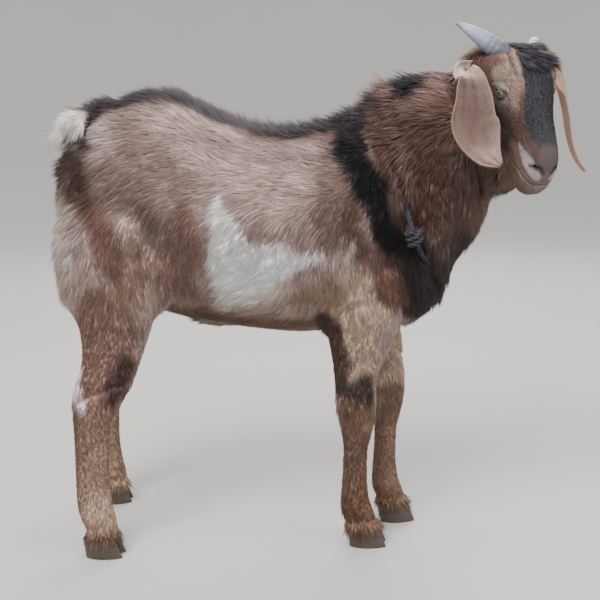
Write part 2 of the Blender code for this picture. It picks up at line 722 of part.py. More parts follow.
def nostril_part(name, side):
    """A comma-shaped hollow in the side of the nose."""
    points = [head_point(a, b, c * side) for a, b, c in NOSTRIL]
    return tube(name, points, NOSTRIL_RADII, 10)


def mouth_part(name, tree):
    """A thin wedge that follows the lips from one corner of the mouth round to the other."""
    points = []
    for side in (1, -1):
        row = []
        for along, brow in MOUTH:
            start = head_point(along, brow, 0.08 * side)
            hit = tree.ray_cast(start, OUTWARD * -side)[0]
            if hit is not None:
                row.append((hit, OUTWARD * side))
        points.append(row)
    nose = []
    for turn in (60, 30, 0, -30, -60):
        angle = math.radians(turn)
        aim = ALONG * math.cos(angle) + OUTWARD * math.sin(angle)
        middle = head_point(MOUTH[-2][0] - 0.012, MOUTH[-1][1], 0)
        hit = tree.ray_cast(middle + aim * 0.08, -aim)[0]
        if hit is not None:
            nose.append((hit, aim))
    rings = []
    for place, outward in points[0][:-2] + nose + points[1][-3::-1]:
        outer = place + outward * MOUTH_CLEAR
        inner = place - outward * MOUTH_DEPTH
        rings.append([outer + BROW * MOUTH_WIDTH, outer - BROW * MOUTH_WIDTH,
                      inner - BROW * MOUTH_EDGE, inner + BROW * MOUTH_EDGE])
    return loft(name, rings)


def claw_part(name, foot, heading, side):
    """One half of a cloven hoof: flat sole, sloping wall, blunt toe."""
    long_way = Vector((math.cos(heading), math.sin(heading), 0))
    across = Vector((-long_way.y, long_way.x, 0)) * side
    tall = CORONET - GAP - SOLE_Z
    bm = bmesh.new()
    rows = []
    for t in (0.0, 0.35, 0.7, 1.0):
        length = CLAW_SOLE[0] * (1 - t) + CLAW_TOP[0] * t
        width = CLAW_SOLE[1] * (1 - t) + CLAW_TOP[1] * t
        middle = foot + Vector((0, 0, SOLE_Z + tall * t)) - long_way * (CLAW_SLOPE * t)
        row = []
        for i in range(CLAW_SIDES):
            angle = 2 * math.pi * i / CLAW_SIDES
            c = math.cos(angle)
            s = math.sin(angle)
            reach = c * length * (1.0 if c > 0 else 0.86)
            narrow = 1.0 - 0.34 * c * c if c > 0 else 1.0
            spread = CLEFT + max((s * 0.5 * narrow + 0.5) * width, 0.04 * width)
            row.append(bm.verts.new(middle + long_way * reach + across * spread))
        rows.append(row)
    for low, high in zip(rows, rows[1:]):
        for i in range(CLAW_SIDES):
            j = (i + 1) % CLAW_SIDES
            bm.faces.new((low[i], low[j], high[j], high[i]))
    bm.faces.new(rows[0])
    bm.faces.new(rows[-1])
    return object_from(bm, name)


def lock_part(name, skin, root, lie, size, grow=0.0):
    """A flat, tapered lock: it comes out of the flesh, follows the skin and bends off it."""
    length, half, lift, sway = size
    normal = skin.find_nearest(root)[1]
    across = normal.cross(lie).normalized()
    points = [root - normal * LOCK_SUNK]
    ups = [normal]
    for t, share in zip(LOCK_STATIONS[1:], LOCK_LIFTS[1:]):
        place, up = skin.find_nearest(root + lie * (length * t) + across * (sway * length * t * t))[:2]
        points.append(place + up * (lift * share))
        ups.append(up)
    bm = bmesh.new()
    rows = []
    for point, up, width in zip(points[:-1], ups, LOCK_WIDTHS):
        wide = across * (half * width + grow)
        tall = up * (LOCK_THICK / 2 + grow)
        rows.append([bm.verts.new(p) for p in (point - wide, point - tall, point + wide, point + tall)])
    tip = bm.verts.new(points[-1] + (points[-1] - points[-2]).normalized() * grow)
    bm.faces.new(rows[0][:3])
    bm.faces.new((rows[0][0], rows[0][2], rows[0][3]))
    for low, high in zip(rows, rows[1:]):
        for k in range(4):
            j = (k + 1) % 4
            bm.faces.new((low[k], low[j], high[j]))
            bm.faces.new((low[k], high[j], high[k]))
    for k in range(4):
        bm.faces.new((rows[-1][k], rows[-1][(k + 1) % 4], tip))
    return object_from(bm, name)


def lock_roots(row, draw):
    """Where a row's locks are probed from and how they lie, on one side or both."""
    node, way, first, last, count, spread, lie, length, half, lift, both = row
    for i in range(count):
        start = Vector(first).lerp(Vector(last), i / (count - 1))
        step = spread * (1 if i % 2 else -1)
        if way == "side":
            start.x += step
        else:
            start.y += step
        turn = Vector(lie)
        turn.y += 0.25 * (1 if i % 2 else -1)
        size = (length * draw.uniform(0.85, 1.15), half * draw.uniform(0.9, 1.1),
                lift * draw.uniform(0.75, 1.25), draw.uniform(-LOCK_SWAY, LOCK_SWAY))
        aim = PROBES[way]
        yield start, aim, turn, size
        if both:
            flip = Vector((1, -1, 1))
            yield start * flip, aim * flip, turn * flip, size


def coat(name, body, skins):
    """Fuses a node's locks to it, leaving out any that would come too near another node."""
    draw = random.Random(f"{name} {LOCK_SEED}")
    skin = skins[name]
    held = bpy.data.collections.new("locks")
    for row in LOCK_ROWS:
        if row[0] != name:
            continue
        for start, aim, lie, size in lock_roots(row, draw):
            root, normal = skin.ray_cast(start, aim)[:2]
            if root is None:
                continue
            flat = (lie - normal * lie.dot(normal)).normalized()
            trial = lock_part("trial", skin, root, flat, size, LOCK_CLEAR)
            reach = surface_of(trial)
            remove(trial)
            if any(reach.overlap(other) for key, other in skins.items() if key != name):
                continue
            held.objects.link(lock_part("lock", skin, root, flat, size))
    locks = list(held.objects)
    if locks:
        union = body.modifiers.new("coat", "BOOLEAN")
        union.operation = "UNION"
        union.operand_type = "COLLECTION"
        union.collection = held
        apply_modifiers(body)
        remove(*locks)
        largest(body)
    bpy.data.collections.remove(held)


def closed_path(points, steps):
    """A smooth closed path through some points."""
    dense = []
    count = len(points)
    for i in range(count):
        a, b, c, d = (points[(i + k) % count] for k in (-1, 0, 1, 2))
        for k in range(steps):
            t = k / steps
            dense.append(0.5 * (2 * b + (c - a) * t + (2 * a - 5 * b + 4 * c - d) * t * t
                                + (3 * b - a - 3 * c + d) * t ** 3))
    return dense


def collar_path(tree):
    """Places and outward directions of the rope round the neck, right side first."""
    right = []
    for i, (x, z, way) in enumerate(COLLAR):
        if way == "side":
            start = Vector((x, -0.3, z))
            aim = Vector((0, 1, 0))
        elif way == "top":
            start = Vector((x, 0, z + 0.2))
            aim = Vector((0, 0, -1))
        else:
            start = Vector((x + 0.2, 0, z))
            aim = Vector((-1, 0, 0))
        place, normal = tree.ray_cast(start, aim)[:2]
        stands = KNOT_STANDS if i == KNOT_AT else ROPE_STANDS
        right.append(place + normal * stands)
    left = []
    for i, place in enumerate(right[1:-1], start=1):
        drop = KNOT_STANDS - ROPE_STANDS if i == KNOT_AT else 0.0
        left.append(Vector((place.x, -place.y - drop, place.z)))
    return closed_path(right + left[::-1], ROPE_STEPS)


def ring_tube(name, points, radius, count=6):
    """A closed round tube along a closed path."""
    total = len(points)
    middle = sum(points, Vector()) / total
    rings = []
    for i, point in enumerate(points):
        tangent = (points[(i + 1) % total] - points[i - 1]).normalized()
        across = (point - middle).normalized()
        across = (across - tangent * across.dot(tangent)).normalized()
        rings.append(oval(point, tangent.cross(across), across, radius, radius, radius, 2, 2, count))
    bm = bmesh.new()
    rows = [[bm.verts.new(p) for p in ring] for ring in rings]
    for k in range(total):
        for i in range(count):
            j = (i + 1) % count
            bm.faces.new((rows[k - 1][i], rows[k - 1][j], rows[k][j], rows[k][i]))
    return object_from(bm, name)


def knot_part(name, path):
    """The knot: rope wound round the collar, its cut end hanging below."""
    at = KNOT_AT * ROPE_STEPS
    axis = (path[at + 1] - path[at - 1]).normalized()
    outward = Vector((0, -1, 0))
    outward = (outward - axis * outward.dot(axis)).normalized()
    around = axis.cross(outward)
    turn_radius = 2 * ROPE_RADIUS + 5 * GAP
    steps = 11
    total = int(KNOT_TURNS * steps)
    points = []
    for i in range(total + 1):
        angle = 2 * math.pi * i / steps
        along = (i / total - 0.5) * KNOT_TURNS * KNOT_PITCH
        turned = outward * math.cos(angle) + around * math.sin(angle)
        points.append(path[at] + axis * along + turned * turn_radius)
    leave = (points[-1] - points[-2]).normalized()
    for k in (1, 2, 3):
        drop = Vector((0, -0.15, -1)) * (k / 3)
        points.append(points[-1] + (leave * (1 - k / 4) + drop).normalized() * (KNOT_END / 3))
    radii = [ROPE_RADIUS * 0.96] * len(points)
    return tube(name, points, radii, 6)


for old in list(bpy.data.objects):
    bpy.data.objects.remove(old)

HIDE = material("hide", (0.30, 0.17, 0.12), 0.9)
HORN = material("horn", (0.42, 0.41, 0.40), 0.55)
EYE = material("eye", (0.10, 0.07, 0.04), 0.15)
HOOF = material("hoof", (0.07, 0.05, 0.045), 0.6)
EAR = material("ear_skin", (0.48, 0.30, 0.24), 0.85)
ROPE = material("rope", (0.10, 0.12, 0.16), 0.8)

flesh = trunk_parts()
flesh.append(neck_part())
flesh.append(mass("throat", *THROAT))
flesh.append(tail_part("tail_form"))
flesh.append(limb("hind", HIND_LEG))
flesh.append(limb("hind_left", HIND_LEG, True, FAR_HIND_STEP))
flesh.append(limb("fore", FORE_LEG))
flesh.append(limb("fore_left", FORE_LEG, True, FAR_FORE_STEP))
flesh.append(skull_part())
whole = blend(join("whole", flesh), BODY_VOXEL, 7, BODY_TRIANGLES)
front_parts = [skull_part(), neck_part(), mass("throat", *THROAT)]
fine = blend(join("fine", front_parts), HEAD_VOXEL, 6, FINE_TRIANGLES)

rope_path = collar_path(surface_of(whole))
NODES = {}


def keep(name, body, finish_of):
    """Lists a node with its material."""
    NODES[name] = (body, finish_of)


def finish(name, body, finish_of):
    """Names a node's object and its mesh, gives it its material and sets it on the ground."""
    body.name = name
    body.data.name = name
    body.data.materials.clear()
    body.data.materials.append(finish_of)
    body.data.transform(Matrix.Translation((-CENTRE_X, -CENTRE_Y, -SOLE_Z)))
    body.data.shade_smooth()
    body.data.set_sharp_from_angle(angle=math.radians(40))


LEG_CUTS = {"hind_right": (HIND_CUT, HIND_CORNERS), "fore_right": (FORE_CUT, FORE_CORNERS)}


def leg_block_of(name, offset):
    """The block that holds a leg below its cut."""
    kind, side = name.split("_")
    cut, corners = LEG_CUTS[kind + "_right"]
    low, high = corners
    if side == "left":
        cut = mirrored(cut)
        low, high = (low[0], -high[1]), (high[0], -low[1])
    return leg_block(name + "_block", cut, low, high, offset)


torso = copy_of(whole, "torso")
torso = boolean(torso, half_space("front", NECK_CUT, -GAP / 2), "DIFFERENCE")
tail_cuts = (TAIL_CUT, TAIL_UNDER)
torso = boolean(torso, block("behind", tail_cuts, -GAP / 2), "DIFFERENCE")
for leg in FEET:
    torso = boolean(torso, leg_block_of(leg, -GAP / 2), "DIFFERENCE")
torso = boolean(torso, testes_part(), "UNION")
torso = boolean(torso, ring_tube("groove", rope_path, ROPE_RADIUS + GAP), "DIFFERENCE")
keep("torso", torso, HIDE)

tail = boolean(copy_of(whole, "tail"), block("behind", tail_cuts, GAP / 2), "INTERSECT")
keep("tail", tail, HIDE)

neck = boolean(copy_of(whole, "neck"), half_space("front", NECK_CUT, GAP / 2), "INTERSECT")
neck = boolean(neck, block("face", FACE_CUTS, -GAP / 2), "DIFFERENCE")
neck = boolean(neck, ring_tube("groove", rope_path, ROPE_RADIUS + GAP), "DIFFERENCE")
keep("neck", neck, HIDE)

for leg, (foot_x, foot_y) in FEET.items():
    limb_body = boolean(copy_of(whole, leg), leg_block_of(leg, GAP / 2), "INTERSECT")
    ground = (Vector((0, 0, CORONET)), Vector((0, 0, 1)))
    limb_body = boolean(limb_body, half_space("ground", ground, 0.0), "INTERSECT")
    keep("leg_" + leg, limb_body, HIDE)
    for claw_side in (-1, 1):
        heading = math.radians(-4 if foot_y < 0 else 4)
        claw_name = f"hoof_{leg}_{'outer' if claw_side * foot_y > 0 else 'inner'}"
        claw = claw_part(claw_name, Vector((foot_x, foot_y, 0)), heading, claw_side)
        keep(claw_name, claw, HOOF)

head = boolean(copy_of(fine, "head"), block("face", FACE_CUTS, GAP / 2), "INTERSECT")
for eye_side, side_name in ((1, "right"), (-1, "left")):
    head = boolean(head, eye_part("orbit", eye_side, GAP), "DIFFERENCE")
    head = boolean(head, lid_opening("lids", eye_side), "DIFFERENCE")
    head = boolean(head, nostril_part("nostril", eye_side), "DIFFERENCE")
    keep("eye_" + side_name, eye_part("eye", eye_side, 0.0), EYE)
head = boolean(head, mouth_part("mouth", surface_of(head)), "DIFFERENCE")
for side_name, side, horn, leaf, faces in (
        ("right", 1, NEAR_HORN, NEAR_EAR, NEAR_EAR_FACES), ("left", -1, FAR_HORN, FAR_EAR, FAR_EAR_FACES)):
    head = boolean(head, horn_part("horn", horn, side, GAP), "DIFFERENCE")
    keep("horn_" + side_name, horn_part("horn", horn, side, 0.0), HORN)
    head = boolean(head, ear_part("ear", side, leaf, faces, EAR_SOCKET), "DIFFERENCE")
    keep("ear_" + side_name, ear_part("ear", side, leaf, faces, 0.0), EAR)
keep("head", head, HIDE)

keep("collar_rope", ring_tube("rope", rope_path, ROPE_RADIUS), ROPE)
keep("collar_knot", knot_part("knot", rope_path), ROPE)
remove(whole, fine)

skins = {name: surface_of(body) for name, (body, finish_of) in NODES.items()}
for name, (body, finish_of) in NODES.items():
    coat(name, body, skins)
    finish(name, body, finish_of)
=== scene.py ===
"""A billy goat, life size: skin, coat, horns, ears, eyes, hooves and rope collar.

Metres, +Z up. The goat faces +X and turns its head to its right, towards -Y. Everything is shaped
in the goat's own frame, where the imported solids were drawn, and then set down by SET_DOWN.
"""
import math

import bmesh
import bpy
import numpy as np
from mathutils import Matrix, Vector, kdtree
from mathutils.bvhtree import BVHTree


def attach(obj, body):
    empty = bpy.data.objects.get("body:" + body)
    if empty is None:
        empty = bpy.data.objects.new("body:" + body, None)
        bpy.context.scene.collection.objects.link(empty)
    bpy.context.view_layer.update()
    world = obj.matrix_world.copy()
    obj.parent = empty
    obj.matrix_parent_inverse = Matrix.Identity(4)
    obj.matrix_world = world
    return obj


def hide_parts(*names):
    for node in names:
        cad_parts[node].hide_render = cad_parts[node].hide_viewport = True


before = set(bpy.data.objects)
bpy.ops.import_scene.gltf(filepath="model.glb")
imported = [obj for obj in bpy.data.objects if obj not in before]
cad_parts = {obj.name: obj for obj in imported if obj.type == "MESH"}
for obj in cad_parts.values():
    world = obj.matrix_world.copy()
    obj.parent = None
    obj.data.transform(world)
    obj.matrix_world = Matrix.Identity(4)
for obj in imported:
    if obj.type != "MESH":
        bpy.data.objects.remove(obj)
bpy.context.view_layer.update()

# The studio: one pale sweep, flat underfoot and curving up into a wall all round, lit by broad soft
# lamps and an open top as under a bright overcast sky, with a camera that stands where the
# photographer stood, a little above the goat's withers and looking slightly down.
SET_DOWN = Vector((-0.0276, -0.0019, -0.007))
CAMERA_BACK = 1.55
CAMERA_HEIGHT = 0.71
CAMERA_LENS = 57.0
CAMERA_SENSOR = 36.0
CAMERA_DIP = 10.903
FLOOR_FLAT = 4.0
SWEEP_RADIUS = 2.6
SWEEP_TOP = 6.5
FLOOR_TONE = (0.42, 0.415, 0.40)
SKY_TONE = (0.90, 0.92, 0.96)
SKY_STRENGTH = 1.95
LAMPS = (
    # place, what it looks at, width, watts
    ((-1.1, -2.3, 3.3), (0.0, 0.0, 0.5), 1.8, 265.0),
    ((2.6, -1.8, 1.7), (0.1, 0.0, 0.5), 1.8, 62.0),
    ((0.4, 2.7, 2.9), (0.0, 0.0, 0.6), 2.4, 132.0),
)
LAMP_TONE = (1.0, 0.965, 0.92)


def add_object(name, data):
    """A new object in the scene."""
    made = bpy.data.objects.new(name, data)
    bpy.context.scene.collection.objects.link(made)
    return made


def add_mesh(name, bm):
    """The mesh of bm as an object in the scene."""
    mesh = bpy.data.meshes.new(name)
    bm.to_mesh(mesh)
    bm.free()
    return add_object(name, mesh)


camera = add_object("camera", bpy.data.cameras.new("camera"))
camera.data.lens = CAMERA_LENS
camera.data.sensor_width = CAMERA_SENSOR
camera.location = Vector((0.0, -CAMERA_BACK, CAMERA_HEIGHT)) + SET_DOWN
camera.rotation_euler = (math.radians(90 - CAMERA_DIP), 0.0, 0.0)
bpy.context.scene.camera = camera
for number, (place, target, width, watts) in enumerate(LAMPS):
    light = bpy.data.lights.new(f"lamp_{number}", "AREA")
    light.energy = watts
    light.size = width
    light.color = LAMP_TONE
    lamp = add_object(f"lamp_{number}", light)
    lamp.location = place
    lamp.rotation_euler = (Vector(target) - Vector(place)).to_track_quat("-Z", "Y").to_euler()
world = bpy.data.worlds.new("overcast")
world.use_nodes = True
sky = world.node_tree.nodes["Background"].inputs
sky["Color"].default_value = (*SKY_TONE, 1.0)
sky["Strength"].default_value = SKY_STRENGTH
bpy.context.scene.world = world


class Wire:
    """A socket in a node tree: + - * / ** on it add Math nodes, so that sums read as sums."""

    def __init__(self, graph, socket):
        self.graph = graph
        self.socket = socket

    def sum(self, operation, first, second):
        return self.graph.node("ShaderNodeMath", {"operation": operation}, {0: first, 1: second})

    def __add__(self, other):
        return self.sum("ADD", self, other)

    def __sub__(self, other):
        return self.sum("SUBTRACT", self, other)

    def __rsub__(self, other):
        return self.sum("SUBTRACT", other, self)

    def __mul__(self, other):
        return self.sum("MULTIPLY", self, other)

    def __pow__(self, other):
        return self.sum("POWER", self, other)

    def __rpow__(self, other):
        return self.sum("POWER", other, self)

    __radd__ = __add__
    __rmul__ = __mul__

    def split(self):
        """The x, y and z of a vector."""
        parts = self.graph.node("ShaderNodeSeparateXYZ", sockets={0: self}).socket.node
        return [Wire(self.graph, socket) for socket in parts.outputs]


class Graph:
    """A node tree that grows node by node."""

    def __init__(self, tree):
        self.tree = tree

    def node(self, kind, settings=None, sockets=None, out=0):
        """Adds a node: its settings first, a ramp's stops among them, then its sockets."""
        made = self.tree.nodes.new(kind)
        for key, value in (settings or {}).items():
            if key == "stops":
                stops = made.color_ramp.elements
                while len(stops) < len(value):
                    stops.new(0.5)
                for stop, (place, colour) in zip(stops, value):
                    stop.position = place
                    stop.color = (*colour, 1.0)
            else:
                setattr(made, key, value)
        for key, value in (sockets or {}).items():
            if isinstance(value, Wire):
                self.tree.links.new(value.socket, made.inputs[key])
            else:
                made.inputs[key].default_value = value
        return Wire(self, made.outputs[out]) if made.outputs else None

    def mix(self, factor, first, second, blend="MIX"):
        """Two colours mixed, or one laid on the other."""
        return self.node("ShaderNodeMix", {"data_type": "RGBA", "blend_type": blend},
                         {0: factor, 6: first, 7: second}, out=2)


class Finish(Graph):
    """A material on one Principled shader."""

    def __init__(self, name, roughness, **fixed):
        self.material = bpy.data.materials.new(name)
        self.material.use_nodes = True
        super().__init__(self.material.node_tree)
        self.shader = self.tree.nodes["Principled BSDF"]
        self.shader.inputs["Roughness"].default_value = roughness
        for socket, value in fixed.items():
            self.shader.inputs[socket.replace("_", " ")].default_value = value

    def read(self, name, kind="Color"):
        """An attribute that the mesh carries: its colour, or its number as kind Fac."""
        return self.node("ShaderNodeAttribute", {"attribute_name": name}, out=kind)

    def grained(self, colour, factor, grain, dark):
        """A colour under a fine grain, from a dark grey in its hollows to white."""
        return self.mix(factor, colour, self.mix(grain, (dark, dark, dark, 1), (1, 1, 1, 1)), "OVERLAY")

    def ramp(self, factor, *stops):
        """Colours along a factor from 0 to 1."""
        return self.node("ShaderNodeValToRGB", {"stops": stops}, {0: factor})

    def noise(self, scale, detail=3.0, place=None):
        """Cloudy variation at a scale of so many grains a metre, by default from the place on the piece."""
        return self.node("ShaderNodeTexNoise", sockets={"Vector": place or self.here(), "Scale": scale,
                                                        "Detail": detail})

    def here(self):
        """The place on the piece, in metres."""
        return self.node("ShaderNodeTexCoord", out="Object")

    def bump(self, height, distance, strength=1.0):
        """Fine relief on the shader's normal."""
        relief = self.node("ShaderNodeBump", sockets={"Height": height, "Distance": distance,
                                                      "Strength": strength})
        self.into("Normal", relief)

    def into(self, socket, wire):
        self.tree.links.new(wire.socket, self.shader.inputs[socket])


def tone(*screen):
    """A colour given as a screen shows it, as the shader counts it."""
    return tuple(((v / 255 + 0.055) / 1.055) ** 2.4 if v > 10 else v / 255 / 12.92 for v in screen)


floor_finish = Finish("studio_floor", 0.9)
floor_finish.into("Base Color", floor_finish.mix(floor_finish.noise(1.3), (*FLOOR_TONE, 1.0),
                                                 tuple(0.94 * v for v in FLOOR_TONE) + (1.0,)))
floor_mesh = bmesh.new()
middle = floor_mesh.verts.new((0.0, 0.0, 0.0))
sweep = [(FLOOR_FLAT * 0.5, 0.0), (FLOOR_FLAT, 0.0)]
sweep += [(FLOOR_FLAT + SWEEP_RADIUS * math.sin(a), SWEEP_RADIUS * (1 - math.cos(a)))
          for a in (math.radians(6 * k) for k in range(1, 16))]
sweep.append((FLOOR_FLAT + SWEEP_RADIUS, SWEEP_TOP))
rows = [[floor_mesh.verts.new((r * math.cos(math.tau * k / 96), r * math.sin(math.tau * k / 96), z))
         for k in range(96)] for r, z in sweep]
for k in range(96):
    j = (k + 1) % 96
    floor_mesh.faces.new((middle, rows[0][k], rows[0][j]))
    for low, high in zip(rows, rows[1:]):
        floor_mesh.faces.new((low[k], high[k], high[j], low[j]))
floor = add_mesh("studio_floor", floor_mesh)
floor.data.shade_smooth()
floor.data.materials.append(floor_finish.material)


# The flesh: one skin from muzzle to tail, lofted from level sections, with the shoulders, hips
# and stifles laid in as masses and all of it blended, then taken in by the depth of the coat. The
# lids are part of it, drawn over the eyeballs.
POLL = Vector((0.310, 0.0, 0.797))
HEAD_SCALE = 1.04
HEAD_YAW = math.radians(68)
HEAD_PITCH = math.radians(45)
HEAD_ROLL = math.radians(-5)
ALONG = Vector((math.cos(HEAD_PITCH) * math.cos(HEAD_YAW),
                -math.cos(HEAD_PITCH) * math.sin(HEAD_YAW), -math.sin(HEAD_PITCH)))
OUTWARD = Matrix.Rotation(-HEAD_ROLL, 3, ALONG) @ Vector((-math.sin(HEAD_YAW), -math.cos(HEAD_YAW), 0.0))
BROW = OUTWARD.cross(ALONG)
# Trunk: x, top, bottom, height of the widest place, half width, upper and lower roundness
TRUNK = (
    (-0.388, 0.622, 0.500, 0.560, 0.034, 2.0, 2.0),
    (-0.372, 0.656, 0.458, 0.570, 0.062, 2.0, 2.0),
    (-0.340, 0.696, 0.430, 0.585, 0.084, 1.9, 2.2),
    (-0.300, 0.731, 0.415, 0.595, 0.098, 1.8, 2.2),
    (-0.250, 0.752, 0.404, 0.585, 0.104, 1.7, 2.2),
    (-0.190, 0.751, 0.388, 0.560, 0.110, 1.7, 2.2),
    (-0.130, 0.722, 0.378, 0.540, 0.120, 1.8, 2.2),
    (-0.070, 0.692, 0.371, 0.525, 0.128, 1.9, 2.2),
    (-0.010, 0.687, 0.366, 0.520, 0.131, 1.9, 2.2),
    (0.050, 0.701, 0.366, 0.520, 0.126, 1.8, 2.2),
    (0.100, 0.722, 0.363, 0.525, 0.112, 1.7, 2.2),
    (0.150, 0.722, 0.366, 0.530, 0.096, 1.8, 2.1),
    (0.195, 0.660, 0.384, 0.520, 0.080, 2.0, 2.0),
    (0.232, 0.560, 0.432, 0.495, 0.046, 2.0, 2.0),
)
# Neck: crest x and z, throat x and z, half width, offset towards +Y, turn towards the head
NECK = (
    (0.060, 0.704, 0.150, 0.385, 0.088, 0.000, 0),
    (0.110, 0.724, 0.222, 0.430, 0.087, 0.000, 0),
    (0.150, 0.750, 0.256, 0.490, 0.082, 0.000, 0),
    (0.188, 0.772, 0.286, 0.530, 0.076, 0.000, 4),
    (0.222, 0.784, 0.304, 0.570, 0.070, 0.002, 12),
    (0.254, 0.796, 0.312, 0.596, 0.064, 0.000, 26),
    (0.284, 0.805, 0.318, 0.612, 0.056, -0.004, 42),
)
# Head: along from the poll, brow height, jaw depth, widest place, half width, roundness
HEAD = (
    (-0.034, 0.010, -0.040, -0.010, 0.026, 2.0, 2.0),
    (-0.020, 0.026, -0.058, -0.014, 0.044, 2.0, 2.0),
    (0.000, 0.041, -0.074, -0.012, 0.053, 2.3, 2.0),
    (0.025, 0.057, -0.086, 0.000, 0.058, 2.8, 1.8),
    (0.050, 0.065, -0.092, 0.012, 0.059, 3.1, 1.7),
    (0.075, 0.063, -0.092, 0.016, 0.054, 3.1, 1.6),
    (0.100, 0.055, -0.089, 0.010, 0.045, 2.8, 1.7),
    (0.125, 0.047, -0.090, 0.000, 0.036, 2.5, 1.8),
    (0.150, 0.037, -0.092, -0.010, 0.029, 2.4, 1.9),
    (0.175, 0.026, -0.089, -0.018, 0.026, 2.4, 2.0),
    (0.194, 0.014, -0.081, -0.024, 0.024, 2.4, 2.1),
    (0.207, 0.000, -0.069, -0.030, 0.021, 2.3, 2.2),
    (0.215, -0.016, -0.056, -0.034, 0.013, 2.1, 2.1),
)
# Limbs, on the right side: height, back x, front x, middle y, half width across
HIND_LEG = (
    (0.600, -0.355, -0.235, -0.062, 0.034),
    (0.550, -0.383, -0.205, -0.064, 0.045),
    (0.500, -0.389, -0.196, -0.066, 0.050),
    (0.460, -0.382, -0.203, -0.070, 0.049),
    (0.430, -0.372, -0.216, -0.076, 0.045),
    (0.395, -0.352, -0.231, -0.082, 0.040),
    (0.356, -0.343, -0.245, -0.088, 0.035),
    (0.324, -0.345, -0.256, -0.092, 0.031),
    (0.288, -0.356, -0.270, -0.096, 0.028),
    (0.262, -0.361, -0.283, -0.098, 0.027),
    (0.235, -0.361, -0.298, -0.100, 0.026),
    (0.193, -0.361, -0.304, -0.101, 0.022),
    (0.140, -0.361, -0.306, -0.101, 0.021),
    (0.100, -0.361, -0.304, -0.101, 0.022),
    (0.075, -0.356, -0.300, -0.101, 0.025),
    (0.055, -0.348, -0.297, -0.101, 0.022),
    (0.034, -0.348, -0.293, -0.101, 0.024),
    (0.016, -0.346, -0.290, -0.101, 0.024),
)
FORE_LEG = (
    (0.470, 0.035, 0.150, -0.070, 0.030),
    (0.430, 0.030, 0.165, -0.072, 0.038),
    (0.395, 0.030, 0.166, -0.073, 0.041),
    (0.365, 0.041, 0.154, -0.072, 0.039),
    (0.335, 0.049, 0.140, -0.070, 0.035),
    (0.300, 0.055, 0.127, -0.068, 0.031),
    (0.265, 0.059, 0.123, -0.067, 0.028),
    (0.235, 0.064, 0.122, -0.066, 0.027),
    (0.205, 0.069, 0.118, -0.065, 0.026),
    (0.175, 0.072, 0.112, -0.064, 0.021),
    (0.130, 0.071, 0.111, -0.063, 0.019),
    (0.095, 0.069, 0.114, -0.062, 0.021),
    (0.073, 0.069, 0.120, -0.061, 0.024),
    (0.053, 0.076, 0.127, -0.060, 0.021),
    (0.034, 0.082, 0.136, -0.060, 0.023),
    (0.016, 0.086, 0.140, -0.060, 0.023),
)
FORWARD = Vector((1, 0, 0))
LEFT = Vector((0, 1, 0))
UP = Vector((0, 0, 1))
FAR_HIND_STEP = Vector((-0.026, 0.022, 0.0))
FAR_FORE_STEP = Vector((0.058, -0.018, 0.0))
STEP_TOP = 0.420
STEP_BOTTOM = 0.270
# Masses: middle, half lengths, lean back in degrees, and whether the left side has one too
MASSES = (
    ((0.120, -0.056, 0.560), (0.060, 0.040, 0.132), 22, True),
    ((0.112, -0.074, 0.450), (0.060, 0.034, 0.062), 0, True),
    ((-0.290, -0.058, 0.615), (0.070, 0.036, 0.070), 0, True),
    ((-0.226, -0.080, 0.462), (0.036, 0.028, 0.062), -14, True),
    ((-0.120, 0.0, 0.383), (0.060, 0.014, 0.014), 0, False),
    ((0.318, -0.040, 0.640), (0.040, 0.040, 0.048), 0, False),
)
# Tail: x, z, half width, half thickness
TAIL = (
    (-0.285, 0.732, 0.018, 0.013),
    (-0.316, 0.726, 0.020, 0.014),
    (-0.336, 0.716, 0.025, 0.017),
    (-0.352, 0.706, 0.030, 0.020),
    (-0.366, 0.696, 0.030, 0.020),
    (-0.377, 0.686, 0.023, 0.015),
    (-0.384, 0.679, 0.010, 0.007),
)
TESTES_TOP = Vector((-0.292, 0.0, 0.430))
TESTES_LOW = Vector((-0.300, 0.0, 0.345))
TESTIS_RADIUS = 0.025
EYE_PLACE = (0.093, 0.027, 0.035)
EYE_RADIUS = 0.0135
LID_THICK = 0.0022
LID_LENGTH = 0.0104
LID_HEIGHT = 0.0046
NOSTRIL = ((0.214, -0.016, 0.0075), (0.210, -0.010, 0.0125), (0.203, -0.010, 0.0175),
           (0.197, -0.015, 0.0200))
NOSTRIL_RADII = (0.0018, 0.0030, 0.0028, 0.0014)
MOUTH = ((0.158, -0.044), (0.170, -0.0405), (0.185, -0.0385), (0.200, -0.0385), (0.212, -0.0390),
         (0.224, -0.0395))
CORONET = 0.0400
ROUGH_VOXEL = 0.004
SKIN_VOXEL = 0.0019
SKIN_TRIANGLES = 150000


def head_point(along, brow, out):
    """A place given in the head's own directions, out being positive on the goat's right."""
    return POLL + (ALONG * along + BROW * brow + OUTWARD * out) * HEAD_SCALE


def object_from(bm, name):
    """The mesh of bm as an object, with its faces turned outwards."""
    bmesh.ops.recalc_face_normals(bm, faces=bm.faces)
    if bm.calc_volume(signed=True) < 0:
        bmesh.ops.reverse_faces(bm, faces=bm.faces)
    return add_mesh(name, bm)


def settle(body):
    """Replaces an object's mesh by the one that its modifiers make."""
    done = bpy.data.meshes.new_from_object(body.evaluated_get(bpy.context.evaluated_depsgraph_get()))
    old = body.data
    body.modifiers.clear()
    body.data = done
    bpy.data.meshes.remove(old)
    return body


def triangle_count(body):
    return sum(len(face.vertices) - 2 for face in body.data.polygons)


def remove(*bodies):
    """Takes helper objects out of the scene."""
    for body in bodies:
        mesh = body.data
        bpy.data.objects.remove(body)
        bpy.data.meshes.remove(mesh)


